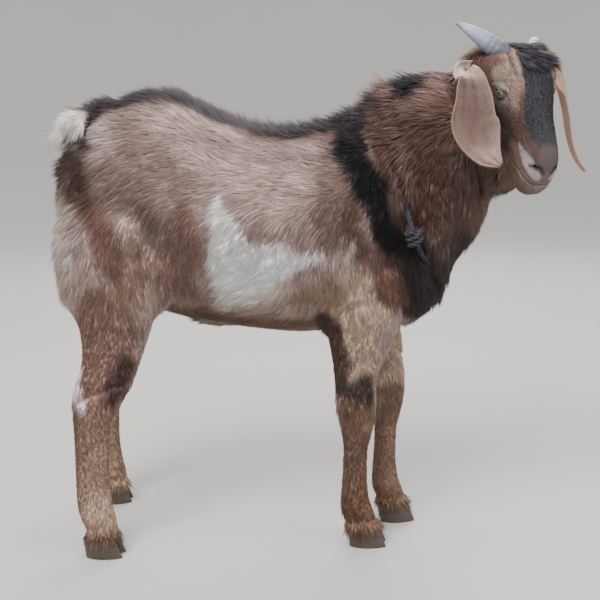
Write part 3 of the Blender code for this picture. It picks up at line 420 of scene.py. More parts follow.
def curve(a, b, c, d, t):
    """A smooth curve through b and c, at a share t of the way between them."""
    bend = 2 * a - 5 * b + 4 * c - d
    return 0.5 * (2 * b + (c - a) * t + bend * t * t + (3 * b - a - 3 * c + d) * t ** 3)


def smooth_rows(rows, steps):
    """Rows of numbers with more between them, on a smooth curve through all of them."""
    dense = []
    for i in range(len(rows) - 1):
        near = (rows[max(i - 1, 0)], rows[i], rows[i + 1], rows[min(i + 2, len(rows) - 1)])
        for k in range(steps):
            dense.append(tuple(curve(*four, k / steps) for four in zip(*near)))
    dense.append(tuple(rows[-1]))
    return dense


def oval(middle, up, side, top, low, half, round_top, round_low, count):
    """One section: top and low are its reaches along up from its widest place."""
    points = []
    for i in range(count):
        angle = 2 * math.pi * i / count
        c = math.cos(angle)
        s = math.sin(angle)
        power = 2 / (round_top if s > 0 else round_low)
        rise = math.copysign(abs(s) ** power, s) * (top if s > 0 else low)
        points.append(middle + up * rise + side * (math.copysign(abs(c) ** power, c) * half))
    return points


def loft(name, rings):
    """A closed body through rings of equal count, its ends closed by fans."""
    bm = bmesh.new()
    rows = [[bm.verts.new(p) for p in ring] for ring in rings]
    count = len(rows[0])
    for low, high in zip(rows, rows[1:]):
        for i in range(count):
            j = (i + 1) % count
            bm.faces.new((low[i], low[j], high[j], high[i]))
    for row in (rows[0], rows[-1]):
        end = bm.verts.new(sum((v.co for v in row), Vector()) / count)
        for i in range(count):
            bm.faces.new((row[i], row[(i + 1) % count], end))
    return object_from(bm, name)


def tube(name, points, radii, count=12, flat=1.0, side=None):
    """A round or flattened body along a path."""
    rings = []
    reach = len(points) - 1
    across = None
    for i, (point, radius) in enumerate(zip(points, radii)):
        tangent = (points[min(i + 1, reach)] - points[max(i - 1, 0)]).normalized()
        across = side or across or tangent.orthogonal()
        across = (across - tangent * across.dot(tangent)).normalized()
        high = radius * flat
        rings.append(oval(point, tangent.cross(across), across, high, high, radius, 2, 2, count))
    return loft(name, rings)


def limb(rows, step=None):
    """A leg from level sections; the left one is mirrored and stepped."""
    rings = []
    for height, back, front, middle, half in smooth_rows(rows, 3):
        place = Vector(((back + front) / 2, middle, height))
        if step:
            place.y = -place.y
            t = min(max((STEP_TOP - height) / (STEP_TOP - STEP_BOTTOM), 0.0), 1.0)
            place += step * (t * t * (3 - 2 * t))
        reach = (front - back) / 2
        rings.append(oval(place, FORWARD, LEFT, reach, reach, half, 2.2, 2.2, 24))
    return loft("limb", rings)


def flesh_parts():
    """Every loft and mass of the body, still apart."""
    rings = [oval(Vector((x, 0, wide)), UP, LEFT, top - wide, wide - low, half, a, b, 40)
             for x, top, low, wide, half, a, b in smooth_rows(TRUNK, 3)]
    parts = [loft("trunk", rings)]
    rings = []
    for crest_x, crest_z, throat_x, throat_z, half, off, turn in smooth_rows(NECK, 4):
        crest = Vector((crest_x, off, crest_z))
        throat = Vector((throat_x, off, throat_z))
        reach = (crest - throat).length / 2
        rings.append(oval(crest.lerp(throat, 0.54), (crest - throat).normalized(),
                          Matrix.Rotation(math.radians(-turn), 3, "Z") @ LEFT,
                          reach * 1.08, reach * 0.92, half, 1.9, 2.1, 36))
    parts.append(loft("neck", rings))
    rings = [oval(head_point(along, wide, 0), BROW, OUTWARD, (brow - wide) * HEAD_SCALE,
                  (wide - jaw) * HEAD_SCALE, half * HEAD_SCALE, a, b, 36)
             for along, brow, jaw, wide, half, a, b in smooth_rows(HEAD, 4)]
    parts.append(loft("skull", rings))
    rows = smooth_rows(TAIL, 3)
    points = [Vector((row[0], 0.0, row[1])) for row in rows]
    rings = []
    for i, (x, z, half, thick) in enumerate(rows):
        tangent = (points[min(i + 1, len(rows) - 1)] - points[max(i - 1, 0)]).normalized()
        rings.append(oval(points[i], LEFT.cross(tangent), LEFT, thick, thick, half, 2, 2, 20))
    parts.append(loft("tail", rings))
    for leg, far_step in ((HIND_LEG, FAR_HIND_STEP), (FORE_LEG, FAR_FORE_STEP)):
        parts += [limb(leg), limb(leg, far_step)]
    for middle, halves, lean, both in MASSES:
        for side in (1, -1) if both else (1,):
            bm = bmesh.new()
            bmesh.ops.create_icosphere(bm, subdivisions=3, radius=1.0)
            bm.transform(Matrix.Translation((middle[0], middle[1] * side, middle[2]))
                         @ Matrix.Rotation(math.radians(-lean), 4, "Y") @ Matrix.Diagonal((*halves, 1.0)))
            parts.append(object_from(bm, "mass"))
    return parts


def testes_parts():
    """The scrotum, hanging between the thighs."""
    parts = []
    for side in (-1, 1):
        drop = Vector((0, side * TESTIS_RADIUS * 0.60, 0))
        path = [TESTES_TOP + drop * 0.3, TESTES_TOP.lerp(TESTES_LOW, 0.5) + drop * 0.7,
                TESTES_LOW + drop, TESTES_LOW + drop - Vector((0, 0, TESTIS_RADIUS * 0.8))]
        parts.append(tube("testis", path, [TESTIS_RADIUS * k for k in (0.62, 0.78, 0.92, 0.58)], 16))
    return parts


def join(name, parts):
    """Several objects as one mesh."""
    bm = bmesh.new()
    for part in parts:
        bm.from_mesh(part.data)
    remove(*parts)
    return add_mesh(name, bm)


def smooth_over(body, rounds, group=""):
    """Draws a mesh's points towards their neighbours, so many times, where a group says."""
    relax = body.modifiers.new("relax", "SMOOTH")
    relax.factor = 0.5
    relax.iterations = rounds
    relax.vertex_group = group


def blended(name, parts, voxel, rounds):
    """One smooth closed skin round overlapping bodies."""
    body = join(name, parts)
    remesh = body.modifiers.new("skin", "REMESH")
    remesh.mode = "VOXEL"
    remesh.voxel_size = voxel
    smooth_over(body, rounds)
    return settle(body)


def read_rows(source, key, kind=np.float32):
    """Three numbers for each of a mesh's points or faces, one a row."""
    rows = np.empty(len(source) * 3, kind)
    source.foreach_get(key, rows)
    return rows.reshape(-1, 3)


def places(mesh):
    """The places of a mesh's points, one a row."""
    return read_rows(mesh.vertices, "co").astype(float)


def facing(mesh):
    """The way that the surface faces at each point."""
    return read_rows(mesh.vertex_normals, "vector").astype(float)


def move_to(mesh, rows):
    """Puts a mesh's points at new places."""
    mesh.vertices.foreach_set("co", np.ascontiguousarray(rows, np.float32).ravel())
    mesh.update()


def store(mesh, name, kind, values):
    """Gives each point of a mesh a number, a row of three or a colour."""
    key = {"FLOAT": "value", "FLOAT_VECTOR": "vector", "FLOAT_COLOR": "color"}[kind]
    layer = mesh.attributes.new(name, kind, "POINT").data
    layer.foreach_set(key, np.ascontiguousarray(values, np.float32).ravel())


def group_points(body, name, inside, share=1.0):
    """Puts points in a vertex group, new or there already."""
    group = body.vertex_groups.get(name) or body.vertex_groups.new(name=name)
    group.add(np.flatnonzero(inside).tolist(), share, "REPLACE")


def ease(low, high, x):
    """0 below low, 1 above high and smooth between."""
    t = np.clip((x - low) / (high - low), 0.0, 1.0)
    return t * t * (3 - 2 * t)


LATTICE = np.random.default_rng(5).random((32, 32, 32))


def cloud(p, size, shift=0):
    """Smooth noise from -1 to 1, with lumps of about the given size in metres."""
    q = p / size + shift * 7.31
    whole = np.floor(q).astype(int)
    f = q - whole
    f = f * f * (3 - 2 * f)
    total = 0.0
    for corner in range(8):
        step = np.array([corner & 1, corner >> 1 & 1, corner >> 2])
        weight = np.prod(np.where(step == 1, f, 1 - f), axis=1)
        x, y, z = ((whole + step) % 32).T
        total = total + weight * LATTICE[x, y, z]
    return total * 2 - 1


def drift(p, size, shift):
    """Three clouds as the x, y and z of a small step."""
    return np.column_stack([cloud(p, size, shift + k) for k in range(3)])


def in_head(p):
    """Places as distances along, up the brow and outward from the poll."""
    axes = np.array([ALONG, BROW, OUTWARD]).T
    return (p - np.array(POLL)) @ axes / HEAD_SCALE


def near_path(p, path):
    """How far places are from a path, and how far along it the nearest point is, 0 to 1."""
    path = np.asarray(path, float)
    best = np.full(len(p), 1e9)
    where = np.zeros(len(p))
    for i, (a, b) in enumerate(zip(path, path[1:])):
        t = np.clip(((p - a) @ (b - a)) / ((b - a) @ (b - a)), 0, 1)
        gap = np.linalg.norm(p - a - t[:, None] * (b - a), axis=1)
        closer = gap < best
        best[closer] = gap[closer]
        where[closer] = (i + t[closer]) / (len(path) - 1)
    return best, where


def eye_middle(side):
    along, brow, out = EYE_PLACE
    return head_point(along, brow, out * side)


def eye_axes(side):
    """The gaze, outward and a little forward, the way along the lids and the way up across them."""
    gaze = (OUTWARD * side * 0.93 + ALONG * 0.30 + BROW * 0.16).normalized()
    long_way = (ALONG - gaze * ALONG.dot(gaze)).normalized()
    up = gaze.cross(long_way)
    if up.dot(BROW) < 0:
        up = -up
    return gaze, long_way, up


def lid_wedge(side):
    """The almond between the lids, as a wedge from the eyeball outwards."""
    gaze, long_way, up = eye_axes(side)
    rings = []
    for depth, size in ((0.0, 0.75), (EYE_RADIUS * 1.02, 1.0), (EYE_RADIUS + 0.014, 1.25)):
        ring = []
        for i in range(32):
            angle = 2 * math.pi * i / 32
            c = math.cos(angle)
            lift = LID_HEIGHT * math.sin(angle) * (1 - 0.35 * c * c)
            ring.append(eye_middle(side) + gaze * depth + (long_way * LID_LENGTH * c + up * lift) * size)
        rings.append(ring)
    return loft("lids", rings)


def ball(middle, radius, turn=None, segments=48, rings=32):
    """A sphere as an object."""
    bm = bmesh.new()
    bmesh.ops.create_uvsphere(bm, u_segments=segments, v_segments=rings, radius=radius)
    bm.transform(Matrix.Translation(middle) @ (turn or Matrix.Identity(4)))
    return object_from(bm, "ball")


def carve(body, cutter):
    """Cuts one closed body out of another."""
    cut = body.modifiers.new("cut", "BOOLEAN")
    cut.operation = "DIFFERENCE"
    cut.solver = "MANIFOLD"
    cut.object = cutter
    settle(body)
    remove(cutter)


def coat_depth(p):
    """How deep the coat lies on the flesh, in metres."""
    head = in_head(p)
    on_head = ease(-0.020, 0.030, head[:, 0] - 0.35 * np.abs(head[:, 1])) * (head[:, 0] < 0.26)
    depth = 0.0046 * ease(0.20, 0.45, p[:, 2]) + 0.0016
    depth = depth + 0.0025 * ease(0.12, 0.22, p[:, 0]) * ease(0.40, 0.50, p[:, 2])
    depth = depth + 0.0030 * ease(0.030, 0.010, np.abs(p[:, 1])) * ease(0.62, 0.68, p[:, 2])
    depth = depth + 0.0030 * ease(-0.350, -0.375, p[:, 0]) * ease(0.42, 0.46, p[:, 2])
    depth = depth * (1 - on_head) + 0.0012 * on_head
    return depth * (1 - 0.8 * ease(0.15, 0.20, head[:, 0]) * on_head)


rough = blended("rough", flesh_parts(), ROUGH_VOXEL, 7)
lids = [ball(eye_middle(side), EYE_RADIUS + LID_THICK) for side in (1, -1)]
skin = blended("skin", flesh_parts() + testes_parts() + lids, SKIN_VOXEL, 10)
head = in_head(places(skin.data))
off_face = (head[:, 0] < 0.01) | (np.abs(head[:, 2]) > 0.09) | (np.abs(head[:, 1]) > 0.12)
group_points(skin, "body", off_face)
smooth_over(skin, 22, "body")
p = places(skin.data)
trunk = off_face & (p[:, 2] > 0.30) & (p[:, 0] > -0.335)
for share in (0.25, 0.5, 0.75, 1.0):
    inside = trunk & (p[:, 2] > 0.28 + 0.08 * share) & (p[:, 0] > -0.345 + 0.03 * share)
    group_points(skin, "trunk", inside, share)
smooth_over(skin, 90, "trunk")
settle(skin)
skin.vertex_groups.clear()
p = places(skin.data)
move_to(skin.data, p - facing(skin.data) * coat_depth(p)[:, None])

# The face's own relief under its short hair, as distances along, up the brow and outward, then the
# reach and height of each swelling or hollow: brow ridge, tear groove, cheek bone, cheek hollow,
# nostril wing, upper lip, lower lip.
FACE_RELIEF = (
    (0.078, 0.042, 0.040, 0.012, 0.0030),
    (0.100, 0.028, 0.044, 0.010, -0.0022),
    (0.098, 0.004, 0.052, 0.014, 0.0022),
    (0.128, -0.012, 0.038, 0.016, -0.0030),
    (0.060, -0.035, 0.056, 0.022, 0.0020),
    (0.150, -0.024, 0.030, 0.009, 0.0015),
    (0.207, 0.000, 0.018, 0.007, 0.0022),
    (0.190, -0.022, 0.024, 0.008, 0.0018),
    (0.192, -0.042, 0.022, 0.008, 0.0016),
    (0.040, 0.063, 0.015, 0.007, 0.0016), (0.051, 0.064, 0.018, 0.007, 0.0016),
    (0.062, 0.064, 0.0195, 0.007, 0.0016), (0.074, 0.062, 0.0195, 0.007, 0.0014),
    (0.086, 0.059, 0.019, 0.007, 0.0012),
    (0.052, 0.0630, 0.0260, 0.006, -0.0016), (0.064, 0.0620, 0.0275, 0.006, -0.0016),
    (0.076, 0.0600, 0.0270, 0.006, -0.0014), (0.088, 0.0560, 0.0260, 0.006, -0.0012),
    (0.060, 0.0600, 0.0340, 0.007, 0.0014), (0.076, 0.0560, 0.0340, 0.007, 0.0014),
)
p = places(skin.data)
head = in_head(p)
rise = np.zeros(len(p))
for along, brow, out, reach, height in FACE_RELIEF:
    gap = (head[:, 0] - along) ** 2 + (head[:, 1] - brow) ** 2 + (np.abs(head[:, 2]) - out) ** 2
    rise += height * np.exp(-gap / (2 * (reach * 0.6) ** 2))
move_to(skin.data, p + facing(skin.data) * rise[:, None])


def tree_of(*bodies):
    """A search tree over some objects' faces."""
    bm = bmesh.new()
    for body in bodies:
        bm.from_mesh(body.data)
    tree = BVHTree.FromBMesh(bm)
    bm.free()
    return tree


# The cut between the lips in section: outward, and up the brow
MOUTH_SECTION = ((0.004, 0.0016), (0.004, -0.0016), (-0.0045, -0.0002), (-0.0045, 0.0002))


def mouth_wedge(tree):
    """A thin wedge that follows the lips from one corner of the mouth round to the other."""
    rows = []
    for side in (1, -1):
        row = []
        for along, brow in MOUTH:
            hit = tree.ray_cast(head_point(along, brow, 0.08 * side), OUTWARD * -side)[0]
            if hit is not None:
                row.append((hit, OUTWARD * side))
        rows.append(row)
    nose = []
    for turn in (60, 30, 0, -30, -60):
        aim = ALONG * math.cos(math.radians(turn)) + OUTWARD * math.sin(math.radians(turn))
        hit = tree.ray_cast(head_point(MOUTH[-2][0] - 0.012, MOUTH[-1][1], 0) + aim * 0.08, -aim)[0]
        if hit is not None:
            nose.append((hit, aim))
    rings = []
    for place, outward in rows[0][:-2] + nose + rows[1][-3::-1]:
        rings.append([place + outward * deep + BROW * gape for deep, gape in MOUTH_SECTION])
    return loft("mouth", rings)


for side in (1, -1):
    carve(skin, ball(eye_middle(side), EYE_RADIUS + 0.0003))
    carve(skin, lid_wedge(side))
    carve(skin, tube("nostril", [head_point(a, b, c * side) for a, b, c in NOSTRIL], NOSTRIL_RADII, 16))
carve(skin, mouth_wedge(tree_of(skin)))
bm = bmesh.new()
bmesh.ops.create_cube(bm, size=1.0)
bm.transform(Matrix.Translation((0.0, 0.0, CORONET - 0.5005)) @ Matrix.Diagonal((2.0, 2.0, 1.0, 1.0)))
carve(skin, object_from(bm, "below_coronet"))
bm = bmesh.new()
bm.from_mesh(skin.data)
left = set(bm.verts)
shells = []
while left:
    seed = left.pop()
    shell = [seed]
    stack = [seed]
    while stack:
        for edge in stack.pop().link_edges:
            for vert in edge.verts:
                if vert in left:
                    left.discard(vert)
                    shell.append(vert)
                    stack.append(vert)
    shells.append(shell)
shells.sort(key=len)
for shell in shells[:-1]:
    bmesh.ops.delete(bm, geom=shell, context="VERTS")
bm.to_mesh(skin.data)
bm.free()
head = in_head(places(skin.data))
group_points(skin, "face", (head[:, 0] > 0.05) & (np.abs(head[:, 2]) < 0.09) & (np.abs(head[:, 1]) < 0.11))
thin = skin.modifiers.new("thin", "DECIMATE")
thin.ratio = SKIN_TRIANGLES / triangle_count(skin)
thin.vertex_group = "face"
thin.invert_vertex_group = True
thin.vertex_group_factor = 4.0
settle(skin)
skin.vertex_groups.clear()
print("skin triangles", triangle_count(skin))


# The markings: one set of coat colours, some of them painted shade, laid on the skin and on every tuft by the
# same sums. The right side is as the photograph shows it, and the left is its own, looser version of it.
SAND = (192, 168, 163)
HAZE = (146, 128, 127)
SMOKE = (156, 132, 127)
PALE_LOIN = (166, 143, 140)
DUSK = (192, 166, 161)
MAUVE = (136, 111, 107)
OXBLOOD = (154, 121, 116)
RUST = (142, 107, 97)
TAN = (168, 138, 121)
BROWN = (132, 103, 85)
CHESTNUT = (118, 92, 85)
UMBER = (86, 66, 60)
MAROON = (87, 62, 57)
BLACK = (26, 24, 28)
WHITE = (255, 253, 255)
CREAM = (220, 208, 199)
# Each marking or patch of painted shade on the body: colour, how soft its edge is, how full it is,
# and a path of x, z and half width; later ones lie over earlier ones
BODY_MARKS_AND_SHADE = (
    (SMOKE, 0.050, 0.90, ((-0.272, 0.721, 0.016), (-0.259, 0.676, 0.025), (-0.228, 0.638, 0.034),
                          (-0.182, 0.616, 0.024))),
    (SMOKE, 0.040, 0.90, ((-0.330, 0.600, 0.040), (-0.290, 0.600, 0.040), (-0.240, 0.590, 0.030))),
    (HAZE, 0.040, 0.80, ((-0.270, 0.744, 0.016), (-0.204, 0.741, 0.019), (-0.142, 0.721, 0.013))),
    (PALE_LOIN, 0.030, 0.90, ((-0.168, 0.675, 0.015), (-0.107, 0.660, 0.021), (-0.031, 0.653, 0.018),
                              (0.030, 0.638, 0.012))),
    (DUSK, 0.040, 0.90, ((-0.106, 0.624, 0.015), (-0.045, 0.602, 0.024), (0.015, 0.587, 0.018))),
    (MAUVE, 0.036, 0.90, ((0.054, 0.675, 0.019), (0.053, 0.624, 0.021), (0.045, 0.572, 0.027),
                          (0.038, 0.528, 0.018))),
    (OXBLOOD, 0.026, 0.95, ((-0.182, 0.564, 0.020), (-0.184, 0.510, 0.033), (-0.190, 0.461, 0.031),
                            (-0.164, 0.436, 0.016))),
    (SMOKE, 0.026, 0.90, ((-0.267, 0.578, 0.021), (-0.228, 0.564, 0.018), (-0.230, 0.525, 0.015))),
    (RUST, 0.026, 0.95, ((-0.317, 0.578, 0.012), (-0.304, 0.541, 0.018), (-0.293, 0.503, 0.021),
                         (-0.287, 0.473, 0.015))),
    (TAN, 0.024, 0.90, ((-0.252, 0.518, 0.012), (-0.245, 0.480, 0.018), (-0.261, 0.434, 0.022))),
    (CREAM, 0.014, 0.85, ((-0.372, 0.575, 0.012), (-0.366, 0.518, 0.018), (-0.356, 0.472, 0.014))),
    (UMBER, 0.026, 0.90, ((-0.350, 0.637, 0.024), (-0.345, 0.607, 0.022), (-0.328, 0.586, 0.012))),
    ((146, 114, 103), 0.030, 0.95, ((-0.314, 0.434, 0.026), (-0.300, 0.388, 0.050), (-0.310, 0.330, 0.050),
                                   (-0.320, 0.270, 0.035))),
    (TAN, 0.016, 0.85, ((-0.210, 0.433, 0.009), (-0.175, 0.417, 0.013), (-0.135, 0.406, 0.008))),
    (BROWN, 0.016, 0.90, ((-0.192, 0.385, 0.024), (-0.111, 0.380, 0.022), (-0.032, 0.374, 0.024),
                          (0.040, 0.380, 0.020))),
    ((168, 140, 119), 0.026, 0.90, ((0.000, 0.433, 0.015), (0.046, 0.449, 0.021), (0.070, 0.417, 0.018))),
    (CHESTNUT, 0.026, 0.90, ((0.076, 0.587, 0.015), (0.076, 0.542, 0.018), (0.095, 0.503, 0.014))),
    ((208, 184, 164), 0.022, 0.95, ((0.077, 0.472, 0.015), (0.105, 0.432, 0.018), (0.121, 0.393, 0.018))),
    (RUST, 0.016, 0.90, ((0.115, 0.486, 0.012), (0.136, 0.455, 0.014), (0.149, 0.423, 0.011))),
    ((62, 52, 54), 0.030, 0.95, ((0.154, 0.524, 0.015), (0.179, 0.507, 0.025), (0.198, 0.457, 0.031),
                          (0.210, 0.407, 0.030))),
    ((98, 75, 69), 0.040, 0.95, ((0.125, 0.730, 0.019), (0.140, 0.670, 0.030), (0.155, 0.610, 0.030))),
    (MAROON, 0.030, 0.95, ((0.190, 0.700, 0.019), (0.215, 0.645, 0.035), (0.200, 0.584, 0.034),
                           (0.250, 0.620, 0.040))),
    ((134, 109, 103), 0.036, 0.90, ((0.163, 0.731, 0.016), (0.202, 0.757, 0.022), (0.245, 0.766, 0.020),
                                    (0.280, 0.790, 0.030))),
    ((98, 64, 56), 0.020, 0.70, ((0.192, 0.625, 0.012), (0.196, 0.575, 0.014))),
    ((97, 78, 72), 0.034, 0.95, ((0.245, 0.660, 0.026), (0.262, 0.600, 0.022), (0.234, 0.552, 0.025),
                                 (0.215, 0.521, 0.026))),
    ((104, 82, 66), 0.016, 0.80, ((0.290, 0.600, 0.010), (0.284, 0.555, 0.008))),
    ((118, 103, 99), 0.012, 0.80, ((0.143, 0.608, 0.006), (0.147, 0.578, 0.008))),
    # a darker patch on the bulge of the hip: painted shade that damps the light the bulge catches
    ((134, 110, 104), 0.020, 0.80, ((-0.238, 0.562, 0.014), (-0.222, 0.545, 0.012))),
    (WHITE, 0.007, 1.00, ((-0.128, 0.583, 0.010), (-0.116, 0.550, 0.021), (-0.108, 0.512, 0.030),
                          (-0.104, 0.465, 0.029))),
    (WHITE, 0.007, 1.00, ((-0.109, 0.500, 0.030), (-0.076, 0.502, 0.021), (-0.038, 0.490, 0.027),
                          (0.000, 0.495, 0.015), (0.027, 0.504, 0.009))),
    (WHITE, 0.010, 1.00, ((-0.100, 0.450, 0.027), (-0.054, 0.453, 0.020))),
    (CREAM, 0.026, 0.90, ((-0.117, 0.424, 0.010), (-0.070, 0.428, 0.010), (-0.024, 0.452, 0.010))),
    ((214, 205, 200), 0.006, 0.90, ((0.070, 0.493, 0.005), (0.079, 0.508, 0.007), (0.085, 0.521, 0.003))),
    ((54, 49, 54), 0.024, 0.90, ((0.064, 0.725, 0.014), (0.114, 0.728, 0.014))),
    (BLACK, 0.014, 1.00, ((0.088, 0.732, 0.030), (0.080, 0.690, 0.026), (0.080, 0.655, 0.025),
                          (0.090, 0.626, 0.024), (0.108, 0.596, 0.023), (0.118, 0.566, 0.021),
                          (0.130, 0.543, 0.021), (0.148, 0.524, 0.017), (0.171, 0.507, 0.014))),
    ((40, 37, 42), 0.016, 1.00, ((0.168, 0.750, 0.016), (0.188, 0.770, 0.021), (0.208, 0.792, 0.022))),
    # the white under the root of the tail, and the dark between the buttocks: dark hair deepened by painted
    # shadow under the tail
    ((206, 196, 191), 0.010, 0.90, ((-0.330, 0.700, 0.010), (-0.318, 0.680, 0.013))),
    ((44, 36, 34), 0.012, 0.95, ((-0.378, 0.664, 0.020), (-0.350, 0.664, 0.017), (-0.328, 0.658, 0.006))),
    # the hind leg: white behind the hock, dark before it, a pale front to the shank
    ((72, 51, 47), 0.018, 0.90, ((-0.272, 0.340, 0.010), (-0.284, 0.310, 0.014), (-0.296, 0.272, 0.010))),
    ((154, 125, 109), 0.030, 0.95, ((-0.330, 0.230, 0.044), (-0.330, 0.100, 0.050))),
    ((236, 226, 230), 0.010, 0.95, ((-0.350, 0.318, 0.008), (-0.352, 0.285, 0.013), (-0.347, 0.256, 0.008))),
    ((160, 133, 118), 0.012, 0.85, ((-0.312, 0.210, 0.006), (-0.308, 0.110, 0.010))),
    ((118, 90, 78), 0.012, 0.80, ((-0.358, 0.240, 0.010), (-0.360, 0.130, 0.008))),
    ((198, 168, 147), 0.016, 0.90, ((-0.320, 0.095, 0.024), (-0.320, 0.050, 0.036))),
    ((98, 76, 64), 0.012, 0.80, ((-0.360, 0.042, 0.008), (-0.300, 0.042, 0.008))),
    # the foreleg: tan above, dark behind, a black knee, brown below it
    ((194, 168, 148), 0.022, 0.95, ((0.080, 0.400, 0.030), (0.098, 0.350, 0.030), (0.105, 0.320, 0.022))),
    ((76, 56, 48), 0.016, 0.90, ((0.040, 0.395, 0.018), (0.053, 0.340, 0.020), (0.062, 0.285, 0.018))),
    ((68, 55, 51), 0.014, 0.95, ((0.102, 0.296, 0.014), (0.094, 0.266, 0.024), (0.084, 0.246, 0.012))),
    ((140, 108, 94), 0.016, 0.95, ((0.085, 0.226, 0.040), (0.090, 0.205, 0.040))),
    ((172, 140, 112), 0.008, 0.90, ((0.110, 0.228, 0.007), (0.108, 0.210, 0.007))),
    ((122, 94, 79), 0.020, 0.95, ((0.090, 0.180, 0.035), (0.092, 0.100, 0.035))),
    ((138, 97, 70), 0.010, 0.80, ((0.108, 0.180, 0.006), (0.110, 0.100, 0.008))),
    ((124, 94, 74), 0.020, 0.95, ((0.096, 0.075, 0.035), (0.112, 0.020, 0.045))),
)
RIDGE_PATH = ((-0.340, 0.735), (-0.271, 0.762), (-0.191, 0.758), (-0.096, 0.710), (-0.016, 0.697),
              (0.064, 0.713), (0.120, 0.735))
BLAZE_HALF = ((0.030, 0.002), (0.045, 0.006), (0.068, 0.013), (0.090, 0.0155), (0.120, 0.0195),
              (0.140, 0.0240), (0.155, 0.0225), (0.170, 0.0195), (0.185, 0.0165), (0.200, 0.0130))
# Markings on the face: colour, softness, fullness, path of along, brow and half width
FACE_MARKS = (
    ((154, 133, 122), 0.012, 0.95, ((0.076, 0.050, 0.011), (0.098, 0.044, 0.013), (0.120, 0.034, 0.010))),
    ((152, 112, 102), 0.008, 0.80, ((0.100, 0.053, 0.004), (0.118, 0.044, 0.006), (0.131, 0.031, 0.005))),
    ((122, 111, 106), 0.008, 0.80, ((0.090, 0.014, 0.004), (0.112, 0.022, 0.004))),
    ((90, 77, 74), 0.010, 0.80, ((0.093, 0.003, 0.006), (0.120, 0.012, 0.007))),
    ((182, 172, 166), 0.004, 0.90, ((0.081, 0.034, 0.0018), (0.090, 0.0405, 0.0026),
                                    (0.101, 0.0390, 0.0010))),
    ((58, 44, 42), 0.003, 0.90, ((0.104, 0.034, 0.0008), (0.112, 0.030, 0.0010))),
    ((120, 74, 64), 0.012, 0.90, ((0.138, 0.012, 0.006), (0.152, 0.004, 0.009), (0.166, -0.003, 0.006))),
    ((156, 130, 118), 0.005, 0.80, ((0.148, 0.010, 0.002), (0.166, 0.004, 0.003), (0.184, 0.002, 0.003))),
    ((180, 171, 175), 0.006, 0.95, ((0.162, -0.008, 0.003), (0.178, -0.011, 0.008), (0.194, -0.014, 0.010),
                                    (0.207, -0.019, 0.008), (0.2145, -0.026, 0.005))),
)
# Two pale folds over the inner end of the brow and the crease between them: along, outward, half width
BROW_FOLDS = (((0.034, 0.013, 0.0018), (0.060, 0.0195, 0.0022), (0.088, 0.0195, 0.0014)),
              ((0.048, 0.031, 0.0012), (0.078, 0.034, 0.0016)),
              ((0.044, 0.0235, 0.0010), (0.066, 0.0275, 0.0014), (0.094, 0.0240, 0.0008)))
# How much darker the skin shows than the hair over it, as painted shade under the coat, and the face than its
# marks
SKIN_SHADE = 0.80
FACE_SHADE = 0.90


def paint(base, colour, share):
    """Lays a colour over others by a share from 0 to 1."""
    return base * (1 - share[:, None]) + np.array(colour, float) * share[:, None]


def stroke(x, z, path, soft):
    """The share of a marking at places seen from the side: 1 inside its path, 0 beyond its soft edge."""
    path = np.array(path)
    best = np.full(len(x), -1e9)
    spot = np.column_stack((x, z))
    for a, b in zip(path, path[1:]):
        step = b[:2] - a[:2]
        t = np.clip(((spot - a[:2]) @ step) / (step @ step), 0, 1)
        gap = np.linalg.norm(spot - a[:2] - t[:, None] * step, axis=1)
        best = np.maximum(best, a[2] + (b[2] - a[2]) * t - gap)
    return ease(-soft / 2, soft / 2, best)


def head_share(p):
    """1 on the head, 0 behind the poll and the angle of the jaw and on the neck beside the cheek."""
    head = in_head(p)
    along, brow, out = head.T
    behind = -0.020 + 0.25 * np.clip(brow, -0.1, 0.1) + 0.9 * np.clip(-0.045 - brow, 0, 1)
    near = (np.abs(out) < 0.12) & (brow > -0.14) & (brow < 0.16)
    rows = np.array(HEAD)
    top, low, middle, half = (np.interp(along, rows[:, 0], rows[:, k]) for k in (1, 2, 3, 4))
    spare = np.interp(along, (0.15, 0.18), (0.003, 0.010))
    rise = (brow - middle) / (np.where(brow > middle, top - middle, middle - low) + spare)
    inside = ease(1.30, 1.14, np.hypot(out / (half + spare), rise)) * (along < 0.235)
    return ease(-0.004, 0.012, along - behind) * near * inside


